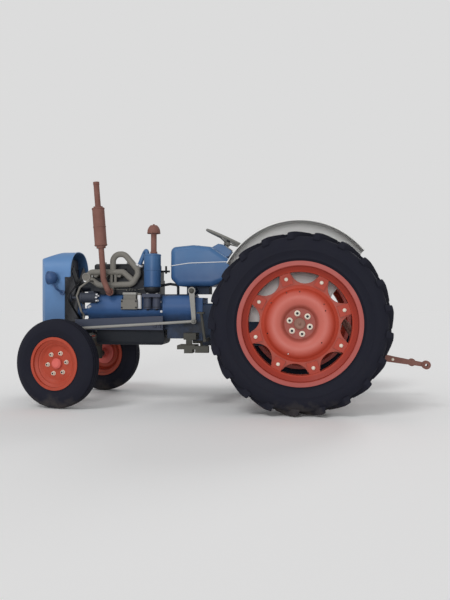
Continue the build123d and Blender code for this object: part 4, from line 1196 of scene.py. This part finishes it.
@dataclass
class FrontWheel(Wheel):
    """Steered wheel: ribbed tyre, hub nuts and kingpin cap."""

    axle: str = "front"
    nut_name: str = "front_nuts"
    nut: Point = (14.5, 16, 8)
    nut_seat: Point = (90, 4, -52)
    casing: tuple[Pair, ...] = (
        (204.5, 52), (216, 52.2), (226, 55), (232, 60.5), (236, 59.5), (256, 69), (282, 76), (288, 78),
        (293, 76.5), (310, 77), (330, 70.5), (349, 60.5), (359, 54.5), (365, 49.5), (367, 46), (358, 44),
        (358, 36), (369.5, 34), (370.5, 20), (360, 18.5), (360, 11.5), (371.5, 10),
    )
    wheelbase: float = 1982.0
    track: float = 1184.0
    kingpin: float = 470.0
    kingpin_top: float = 636.0
    radius: float = 372.0
    steer: float = -12.25

    @property
    def matrix(self) -> Matrix:
        """Matrix from the wheel's own axes, outer side along +Y, to the frame with the steering turned.

        Returns:
            The placing matrix.
        """
        sign = self.side.value
        pin = Matrix.Translation(at(self.wheelbase, sign * self.kingpin, self.radius))
        out = Matrix.Translation((0, sign * (self.track / 2 - self.kingpin) / 1000, 0))
        return pin @ Matrix.Rotation(radians(self.steer), 4, "Z") @ out @ Matrix.Scale(sign, 4, (0, 1, 0))

    def build(self) -> None:
        """Model the wheel's pieces and dress them."""
        self.fit_tyre(Bench.lathe(f"ribbed_tyre_{self.side.word}", self.casing_rows(), 96, closed=True))
        self.nuts()
        rows = [(0, 0), (31, 0), (31, 6), (26, 11), (12, 14), (7, 16), (6, 24), (0, 25)]
        cap = Bench.lathe(f"kingpin_cap_{self.side.word}", rows, 28)
        top = (self.wheelbase, self.side.value * self.kingpin, self.kingpin_top)
        Bench.fit(cap, spots([top], UP), DARK_CASTING, f"knuckle_{self.side.word}")


@dataclass
class OpenEngine:
    """Bolts, bands, pipes and caps on the open engine."""

    head_bolt_x: tuple[float, ...] = (1290, 1380, 1470, 1560, 1650, 1740, 1830)
    cover_nut_x: tuple[float, ...] = (1340, 1559, 1778)
    pan_bolt_x: tuple[float, ...] = (1220, 1330, 1450, 1570, 1690, 1795)
    exhaust_bend: Point = (1701, 300, 1075)
    exhaust_tip: Point = (1768, 300, 1926)
    silencer_bands: tuple[float, ...] = (1379, 1538, 1696)
    cleaner: Pair = (1278, 250)
    cleaner_bands: tuple[float, ...] = (1026, 1160, 1291)
    stack: Pair = (1266, 250)
    dynamo: Pair = (305, 920)
    union_x: tuple[float, ...] = (1436, 1462, 1488, 1514)
    injector_x: tuple[float, ...] = (1366, 1505, 1688, 1760)
    filter_x: Pair = (1240, 1319)
    filter_y: float = 256.0

    def build(self) -> None:
        """Model the pieces and dress them."""
        self.bolts()
        self.exhaust()
        self.cleaner_trim()
        self.dynamo_trim()
        self.pump_trim()

    def bolts(self) -> None:
        """Bolt down the head, its cover and the oil pan."""
        points = mirrored([(x, 97, 1170) for x in self.head_bolt_x])
        Bench.bolted("head_bolts", 10.5, 11, BOLT_DARK, spots(points, UP, True))
        points = [(x, 0, 1228) for x in self.cover_nut_x]
        Bench.bolted("cover_nuts", 16, 14, PALE_STEEL, spots(points, UP, True))
        Bench.dress(Bench.slab("pan_flange", at(1194, -153, 630), at(1818, 153, 640), 3), DARK_CASTING)
        points = mirrored([(x, 140, 630) for x in self.pan_bolt_x])
        Bench.bolted("pan_bolts", 9, 8, BOLT_DARK, spots(points, DOWN, True))
        points = [(1852, 249, 838), (1838, 250, 846), (1200, 246, 800), (1212, 246, 884)]
        Bench.bolted("crankcase_bolts", 9, 10, WHITE_TRIM_AND_HIGHLIGHT, spots(points, LEFT))

    def exhaust(self) -> None:
        """Band the silencer, open the pipe's end and clamp the joints."""
        foot, tip = at(*self.exhaust_bend), at(*self.exhaust_tip)
        lean = (tip - foot).normalized()
        rises = [(height - self.exhaust_bend[2]) / 1000 for height in self.silencer_bands]
        places = [facing(foot + lean * (rise / lean.z), lean) for rise in rises]
        Bench.fit(Bench.hoop("silencer_bands", 52.2, 55.6, 11, 48), places, RUSTY)
        rows = [(0, -4), (21.5, -4), (21.5, 4), (26.2, 4), (27.2, 0), (27.2, -20), (24.5, -22), (0, -22)]
        end = Bench.lathe("exhaust_end", rows, 32)
        Bench.two_tone(end, RUSTY, SOOT_BLACK, lambda c: c.xz.length < 0.022 and c.y > -0.01)
        Bench.fit(end, [facing(tip, lean)], RUSTY)
        clamp = Bench.hoop("neck_clamp", 28.8, 33.5, 16, 36)
        lug = Bench.slab("clamp_lug", Vector((0.03, -0.007, -0.009)), Vector((0.046, 0.007, 0.009)), 2)
        clamp = Bench.join("neck_clamp", [clamp, lug])
        Bench.fit(clamp, [facing(at(1407, 200, 1205), (-26, 0, 62), 60)], WHITE_TRIM_AND_HIGHLIGHT)
        end_ring = Bench.hoop("manifold_end_ring", 30, 36.5, 8, 36)
        Bench.fit(end_ring, spots([(1881, 229, 1104)], LEFT), PALE_STEEL)
        points = [(1658 + x, 270, 972 + z) for x, z in ring(28, (20, 140, 260))]
        Bench.bolted("flange_nuts", 6.5, 9, RUSTY, spots(points, LEFT))

    def cleaner_trim(self) -> None:
        """Band the air cleaner, blacken its bowl and trim its cap."""
        points = [(*self.cleaner, height) for height in self.cleaner_bands]
        Bench.fit(Bench.hoop("cleaner_bands", 73, 75.7, 12, 56), spots(points, UP), TANK_BLUE)
        rows = [(0, -0.6), (52, -0.6), (70.3, 19.8), (70.3, 26), (72.2, 30), (72.2, 36), (70.3, 40)]
        bowl = Bench.lathe("oil_bowl", [*rows, (70.3, 43), (68.5, 49), (0, 49)], 48)
        Bench.fit(bowl, spots([(*self.cleaner, 963)], UP), BLACK_OIL)
        collar = Bench.hoop("stack_collar", 24.6, 31, 20, 32)
        hood = Bench.hoop("cap_bead", 55, 58.5, 8, 44)
        for piece, height in ((collar, 1313), (hood, 1484)):
            Bench.place(piece, facing(at(*self.stack, height), UP))
        Bench.dress(Bench.join("stack_trim", [collar, hood]), RUSTY)
        Bench.bolted("cap_nut", 9, 8, RUSTY, spots([(*self.stack, 1551)], UP))

    def dynamo_trim(self) -> None:
        """Cover the dynamo's ends and show its through bolts."""
        y, z = self.dynamo
        ends = [(x, y, z) for x in (1775, 1893)]
        Bench.fit(Bench.hoop("dynamo_ends", 43, 46.2, 20, 44), spots(ends, FORWARD), SLATE)
        points = [(1764, y + out, z + up) for out, up in ring(33, (58, 5, -48, 150, 230))]
        Bench.bolted("dynamo_bolts", 7.5, 13, WHITE_TRIM_AND_HIGHLIGHT, spots(points, BACK))

    def pump_trim(self) -> None:
        """Cap the pump, run its four pipes to the head and trim the filters."""
        Bench.dress(Bench.slab("pump_cap", at(1414, 200, 946), at(1536, 286, 967), 4), PALE_STEEL)
        Bench.fit(Bench.hoop("pump_strip", 17.5, 19.5, 118, 28), spots([(1394, 250, 884)], UP), WHITE_TRIM_AND_HIGHLIGHT)
        points = [(x, 240, 967) for x in self.union_x]
        Bench.bolted("pump_unions", 7.5, 12, BOLT_DARK, spots(points, UP))
        pipes = []
        for union, injector in zip(self.union_x, self.injector_x):
            route = [(union, 240, 978), (union, 240, 990), (union, 158, 994), (injector, 154, 1000)]
            route += [(injector, 154, 1098), (injector, 108, 1104)]
            pipes.append(Bench.pipe("fuel_pipe", route, 3.2, 8))
        Bench.dress(Bench.join("fuel_pipes", pipes), GRIP_GREY)
        y = self.filter_y
        Bench.bolted("filter_nuts", 11, 14, WHITE_TRIM_AND_HIGHLIGHT, spots([(x, y, 954.5) for x in self.filter_x], UP))
        Bench.bolted("filter_drains", 9, 10, BOLT_DARK, spots([(x, y, 822) for x in self.filter_x], DOWN))
        points = [(x, y, z) for x in self.filter_x for z in (917, 838)]
        Bench.fit(Bench.hoop("filter_rings", 35.5, 39, 9, 36), spots(points, UP), SLATE)
        points = [(x, 305, z) for z in (890, 835) for x in (1412, 1537)]
        Bench.bolted("pump_screws", 6, 6, BOLT_DARK, spots(points, LEFT))


@dataclass
class Front:
    """Rolled edge of the cowl, lamp bezels, rail bolts and steering nuts."""

    lamp: Point = (2193.7, 318, 1095)
    cowl_rear: float = 2019.0
    cowl_step: float = 2072.0
    cowl_side: float = 250.0
    fan_hub: Pair = (2040, 1021)

    def build(self) -> None:
        """Model the pieces and dress them."""
        self.cowl_edge()
        rows = [(49.7, -6), (58.5, -8), (59.5, 1), (55.5, 7), (49.7, 5)]
        bezel = Bench.lathe("lamp_bezels", rows, 48, closed=True)
        Bench.fit(bezel, spots(mirrored([self.lamp]), FORWARD), LAMP_BLUE)
        places = outward(mirrored([(x, 295, 672) for x in (1205, 1245, 1902, 1930)]))
        Bench.bolted("rail_bolts", 12, 10, RAIL_PAINT, places, slot="rail_paint")
        places = spots([(1855, y, 610.3) for y in (497.6, -442.4)], UP)
        Bench.bolted("track_rod_nuts", 14, 14, BOLT_DARK, places, "track_rod")
        Bench.bolted("drag_link_nut", 14, 14, BOLT_DARK, spots([(1954.4, 343, 667.6)], UP), "drag_link")
        places = outward(mirrored([(1892, 150, z) for z in (655, 690)]))
        Bench.bolted("bolster_bolts", 11, 12, WHITE_TRIM_AND_HIGHLIGHT, places)
        x, z = self.fan_hub
        points = [(x, out, z + up) for reach in (50, 72) for out, up in ring(reach, (45, 135, 225, 315))]
        Bench.bolted("fan_rivets", 6, 4, BOLT_DARK, spots(points, FORWARD), "fan")

    def cowl_edge(self) -> None:
        """Roll the cowl's rear edge, up one side, over the arch and down the other."""
        rear, step, side = self.cowl_rear, self.cowl_step, self.cowl_side
        arch = arc((side, 1150), (188, 1278), (80, 1331), 8)[:-1] + arc((80, 1331), (0, 1337), (-80, 1331), 6)
        arch += arc((-80, 1331), (-188, 1278), (-side, 1150), 8)[1:]
        leg = [(step, side, 704), (step, side, 1108), (rear, side, 1108)]
        route = [*leg, *((rear, y, z) for y, z in arch), *((x, -y, z) for x, y, z in reversed(leg))]
        Bench.dress(Bench.pipe("cowl_edge", route, 4.5, 6), COWL_BLUE)


@dataclass
class Tank:
    """Seam bead and filler cap of the fuel tank."""

    half: float = 241.0
    corner: float = 46.0
    front: float = 1123.5
    rear: float = 594.0
    rear_stretch: float = 1.26
    seam_rows: tuple[Pair, ...] = ((1123, 1197), (954, 1221), (594, 1231))

    def height(self, x: float) -> float:
        """Height of the seam at a place along X.

        Args:
            x: Distance ahead of the rear axle.

        Returns:
            Height above the ground.
        """
        for (x_high, z_high), (x_low, z_low) in zip(self.seam_rows, self.seam_rows[1:]):
            if x >= x_low:
                return z_high + (z_low - z_high) * (x_high - x) / (x_high - x_low)
        return self.seam_rows[-1][1]

    def build(self) -> None:
        """Model the pieces and dress them."""
        flat = self.half - self.corner
        quarter = ring(self.corner, [15 * step for step in range(7)])
        ahead = [(self.front - self.corner + along, flat + out) for along, out in quarter]
        back = self.rear + self.corner * self.rear_stretch
        behind = [(back - out * self.rear_stretch, flat + along) for along, out in quarter]
        left = [*ahead, (self.seam_rows[1][0], self.half), *behind]
        loop = left + [(x, -y) for x, y in reversed(left)]
        bead = Bench.pipe("tank_seam", [(x, y, self.height(x)) for x, y in loop], 3.6, 0, closed=True)
        # The seam bead is white: a painted highlight along the joint of the tank's halves.
        Bench.dress(bead, WHITE_TRIM_AND_HIGHLIGHT, slot="body_blue")
        cap = Bench.lathe("filler_cap", [(0, 0), (36, 0), (36, 5), (32, 6), (32, 14), (28, 18), (0, 19)], 36)
        Bench.fit(cap, spots([(930, -70, 1379)], UP), TANK_BLUE)


@dataclass
class DriverPlace:
    """Dials, boot, pedal pads, pan rim and the nuts of the steering."""

    dial: Point = (637, 64, 1360.5)
    dash_slope: Point = (-59, 0, 76)
    lever: Point = (-40, 0, 236)
    knob_radius: float = 21.0
    column_lean: float = 24.8

    def build(self) -> None:
        """Model the pieces and dress them."""
        self.dials()
        self.floor_fittings()
        self.steering()
        rim = [(x, y, 1152) for x, y in ((260, 250), (-200, 250), (-200, -250), (260, -250))]
        Bench.dress(Bench.pipe("pan_rim", rim, 7.5, 150, closed=True), BLACK_OIL)
        Bench.bolted("pan_bolts_top", 14, 8, BOLT_DARK, spots([(x, 0, 1081) for x in (60, 130)], UP))

    def dials(self) -> None:
        """Fit two plain dials on the dash."""
        dial = Bench.lathe("dials", [(0, 0), (33, 0), (33, 6), (30, 9), (27, 8), (26, 4), (0, 4)], 40)
        Bench.two_tone(dial, PALE_STEEL, WHITE_TRIM_AND_HIGHLIGHT, lambda c: c.xz.length < 0.0262 and c.y > 0.002)
        hand = Bench.slab("hand", Vector((-0.001, 0.0042, -0.004)), Vector((0.001, 0.0052, 0.019)), 0.4)
        tick = Bench.slab("tick", Vector((-0.0007, 0.004, 0.02)), Vector((0.0007, 0.0046, 0.0245)), 0.2)
        for piece in (hand, tick):
            piece.data.materials.append(BOLT_DARK.material())
        dial = Bench.join("dials", [dial, hand, Bench.ringed(tick, 12)])
        x, y, z = self.dial
        places = [facing(at(x, side.value * y, z), self.dash_slope, 20 * side.value) for side in Side]
        Bench.fit(dial, places, PALE_STEEL)

    def floor_fittings(self) -> None:
        """Boot the gear lever, and rib the pedals and foot plates."""
        rows = [(0, -3), (36, -3), (36, 3), (27, 8), (29, 13), (21, 18), (23, 23), (15, 29), (12.5, 42)]
        boot = Bench.lathe("lever_boot", [*rows, (0, 43)], 32)
        Bench.place(boot, facing(at(470.5, 0, 892.5), self.lever))
        ball = ring(-self.knob_radius, [15 * step for step in range(13)])
        knob = Bench.lathe("lever_knob", [(abs(out), along) for along, out in ball], 28)
        Bench.place(knob, facing(at(430, 0, 1140), self.lever))
        Bench.dress(Bench.join("lever_boot", [boot, knob]), BELT)
        pedals = [((x, 370, 796), (x + 7, 430, 800.5)) for x in (805, 818, 831, 844)]
        steps = [((872, y, 522), (1004, y + 10, 526)) for y in (345, 375, 405, 435, 465)]
        for name, finish, corners in (("pedal_ribs", BELT, pedals), ("step_ribs", STEP_OLIVE, steps)):
            pairs = [zip(mirrored([low]), mirrored([high])) for low, high in corners]
            ribs = [Bench.slab(name, at(*low), at(*high), 1.5) for pair in pairs for low, high in pair]
            Bench.dress(Bench.join(name, ribs), finish)

    def steering(self) -> None:
        """Put the nuts on the steering wheel and the drop arm."""
        ((rise, lean),) = ring(1, [self.column_lean])
        places = spots([(644.2, 0, 1420)], (-lean, 0, rise))
        Bench.bolted("wheel_nut", 17, 14, BOLT_DARK, places, "steering_wheel")
        rows = [(0, 0), (22.5, 0), (22.5, 4), (19, 7), (15, 7.5), (13.5, 12), (0, 12.5)]
        arm_bolt = Bench.lathe("drop_arm_bolt", rows, 32)
        Bench.fit(arm_bolt, spots([(924, 306, 980)], LEFT), STEP_OLIVE, "drop_arm")
        Bench.bolted("drop_arm_nut", 13, 11, GRIP_GREY, spots([(904, 332, 717)], LEFT), "drop_arm")
        points = mirrored([(x, 96, 892) for x in (416, 570, 724)])
        Bench.bolted("gear_cover_bolts", 10, 9, BOLT_DARK, spots(points, UP, True))


@dataclass
class RearEnd:
    """Fender edges, axle bolts, lift pins, ball ends and splined shaft."""

    axle_height: float = 715.0
    fender_middle: Pair = (8, 880)
    fender_radius: float = 652.0
    fender_ends: Pair = (29, 141)
    fender_inside: float = 472.0
    fender_outside: float = 660.0
    ball_x: float = -1023.0
    ball_y: float = 365.0
    ball_z: Pair = (370, 326)
    shaft_height: float = 620.0

    def build(self) -> None:
        """Model the pieces and dress them."""
        for side in Side:
            self.fender_edge(side)
        self.pins()
        self.links()
        self.shaft()

    def fender_edge(self, side: Side) -> None:
        """Roll the edge of a fender.

        Args:
            side: Side of the tractor.
        """
        (x0, z0), (low, high), inside = self.fender_middle, self.fender_ends, self.fender_inside
        sweep = ring(self.fender_radius, [low + (high - low) * step / 28 for step in range(29)])
        crown = [(x0 + x, self.fender_outside, z0 + z) for x, z in sweep]
        (front_x, _, front_z), (rear_x, _, rear_z) = crown[0], crown[-1]
        route = [(480, inside, 722), (front_x, inside, front_z), *crown, (rear_x, inside, rear_z)]
        route += [(-256, inside, 943), (-150, inside, 722)]
        bead = Bench.pipe(f"fender_edge_{side.word}", [(x, side.value * y, z) for x, y, z in route], 5.5, 10)
        Bench.dress(bead, FENDER_GREY)

    def pins(self) -> None:
        """Bolt the axle tubes and the lift's cover, and pin the lift."""
        circle = ring(132, [22.5 + 45 * step for step in range(8)])
        places = outward(mirrored([(x, 203, self.axle_height + z) for x, z in circle]))
        Bench.bolted("axle_bolts", 13, 12, BOLT_DARK, places)
        points = mirrored([(x, 146, 990) for x in (-190, -60, 70, 165)])
        Bench.bolted("lift_cover_bolts", 12, 10, BOLT_DARK, spots(points, UP, True))
        Bench.bolted("link_nuts", 16, 12, RUSTY, outward(mirrored([(-60, 272, 520)])), slot="rusty_steel")
        places = outward(mirrored([(-320, 254, 815)]))
        Bench.bolted("lift_pin_nuts", 13.5, 10, RUSTY, places, "lift_arms", "rusty_steel")

    def links(self) -> None:
        """Ring the lower links' ball ends, bolt the links and sleeve the lift rods."""
        rows = [(11.8, 0), (27, 0), (25.5, 3), (20, 7), (11.8, 8.5)]
        ball = Bench.lathe("ball_ends", rows, 32, closed=True)
        places = [
            facing(at(self.ball_x, side.value * (self.ball_y + edge * 18), z), (0, side.value * edge, 0))
            for side, z in zip(Side, self.ball_z)
            for edge in (1, -1)
        ]
        Bench.fit(ball, places, RUSTY, "lower_links")
        places = [facing(at(-760, s.value * 344, z), (0.119, s.value, 0)) for s, z in zip(Side, (411, 379))]
        Bench.bolted("link_bolts", 9, 8, NUT_CREAM, places, "lower_links")
        rows = [(10.8, -70), (16, -70), (18, -64), (18, 50), (21.5, 54), (21.5, 70), (10.8, 70)]
        places = []
        for side, foot_z in zip(Side, (442.1, 419.3)):
            top, foot = at(-320, side.value * 240, 815), at(-560, side.value * 279.7, foot_z)
            places.append(facing(top.lerp(foot, 0.45), top - foot))
        Bench.fit(Bench.lathe("rod_sleeves", rows, 24, closed=True), places, RUSTY, "lift_rods")

    def shaft(self) -> None:
        """Cut six splines in the power shaft. Its radius and length are in metres."""
        radius, length, root = 0.0174, 0.086, 0.82
        Bench.clear()
        bpy.ops.mesh.primitive_circle_add(
            vertices=48, radius=radius, fill_type="NGON", rotation=(0, -pi / 2, 0)
        )
        shaft = bpy.context.object
        shaft.name = "splined_shaft"
        Bench.apply()
        Bench.mode("EDIT")
        for index, vertex in enumerate(bmesh.from_edit_mesh(shaft.data).verts):
            vertex.co *= 1.0 if index % 8 < 4 else root
        bmesh.update_edit_mesh(shaft.data)
        bpy.ops.mesh.select_all(action="SELECT")
        bpy.ops.mesh.extrude_region_move(TRANSFORM_OT_translate={"value": (length, 0, 0)})
        Bench.heal()
        Bench.bevel(shaft, 1.2, 1)
        Bench.place(shaft, Matrix.Translation(at(-350, 0, self.shaft_height)))
        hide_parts("pto_shaft")
        Bench.dress(shaft, PALE_STEEL)
        guard = Bench.hoop("shaft_guard", 52, 62, 20, 40)
        Bench.fit(guard, spots([(-268, 0, self.shaft_height)], BACK), HOUSING_BLUE)


@dataclass
class Studio:
    """Floor, light and camera. The camera's place is in metres and its turn in degrees."""

    pale: str = "dcdcdc"
    world_light: float = 0.42
    sun_angle: float = 20.0
    camera_at: Point = (-0.6808, 5.9906, 0.8881)
    camera_turn: Point = (90.12, 0.0, 186.56)
    lens: float = 40.263
    sensor: float = 36.0
    suns: tuple[tuple[str, Point, float], ...] = (
        ("key_sun", (0.4, 0.7, 0.9), 0.75),
        ("front_sun", (0.0, 1.0, 0.1), 1.15),
        ("back_sun", (-0.4, -0.9, 0.6), 0.6),
    )

    def build(self) -> None:
        """Set up the light, the floor and the camera."""
        self.light()
        self.floor()
        data = bpy.data.cameras.new("camera")
        data.lens = self.lens
        data.sensor_width = self.sensor
        camera = bpy.data.objects.new("camera", data)
        camera.location = self.camera_at
        camera.rotation_euler = [radians(angle) for angle in self.camera_turn]
        bpy.context.scene.collection.objects.link(camera)
        bpy.context.scene.camera = camera
        bpy.context.scene.view_settings.view_transform = "Standard"

    @property
    def floor_light(self) -> float:
        """Light that an open, level floor gets, where 1 shows its colour as written."""
        return self.world_light + sum(power * Vector(way).normalized().z for _, way, power in self.suns) / pi

    def floor(self) -> None:
        """Lay a wide floor that shows as the background does, apart from the shadow."""
        Bench.clear()
        bpy.ops.mesh.primitive_circle_add(vertices=64, radius=60.0, fill_type="NGON")
        floor = bpy.context.object
        floor.name = "floor"
        material = bpy.data.materials.new("pale_floor")
        material.use_nodes = True
        sheet = NodeSheet(material.node_tree)
        red, green, blue = (value / self.floor_light for value in paint(self.pale)[:3])
        shader = sheet.add("ShaderNodeBsdfDiffuse", {"Color": (red, green, blue, 1.0), "Roughness": 0.0})
        sheet.add("ShaderNodeOutputMaterial", {"Surface": shader.outputs[0]})
        floor.data.materials.append(material)

    def light(self) -> None:
        """Light the tractor from its left, from above and from behind, in front of an even background."""
        world = bpy.data.worlds.new("studio")
        bpy.context.scene.world = world
        world.use_nodes = True
        sheet = NodeSheet(world.node_tree)
        path = sheet.add("ShaderNodeLightPath").outputs
        seen = sheet.math("MAXIMUM", path["Is Camera Ray"], path["Is Glossy Ray"])
        seen = sheet.math("MAXIMUM", seen, path["Is Transmission Ray"])
        lit = sheet.add("ShaderNodeBackground", {"Color": (1.0, 1.0, 1.0, 1.0), "Strength": self.world_light})
        shown = sheet.add("ShaderNodeBackground", {"Color": paint(self.pale), "Strength": 1.0})
        both = sheet.add("ShaderNodeMixShader", {0: seen, 1: lit.outputs[0], 2: shown.outputs[0]})
        sheet.add("ShaderNodeOutputWorld", {"Surface": both.outputs[0]})
        for name, way, power in self.suns:
            data = bpy.data.lights.new(name, "SUN")
            data.energy = power
            data.angle = radians(self.sun_angle)
            lamp = bpy.data.objects.new(name, data)
            lamp.rotation_euler = Vector(way).to_track_quat("Z", "Y").to_euler()
            bpy.context.scene.collection.objects.link(lamp)


def finish_nodes(nodes: dict[str, Piece]) -> None:
    """Give every node of the frame its finish.

    Args:
        nodes: The frame's nodes by name.
    """
    chosen = {name: finish for finish, names in NODE_FINISHES for name in names.split()}
    for name, node in nodes.items():
        for slot in node.material_slots:
            slot.material = chosen[name].material()


def main() -> None:
    """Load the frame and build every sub-assembly."""
    logging.basicConfig(level=logging.INFO, format="%(name)s: %(message)s")
    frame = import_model()
    finish_nodes(frame["nodes"])
    wheels = [kind(side) for side in Side for kind in (RearWheel, FrontWheel)]
    for assembly in (Studio(), OpenEngine(), Front(), Tank(), DriverPlace(), RearEnd(), *wheels):
        assembly.build()
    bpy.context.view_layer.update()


if __name__ == "__main__":
    main()
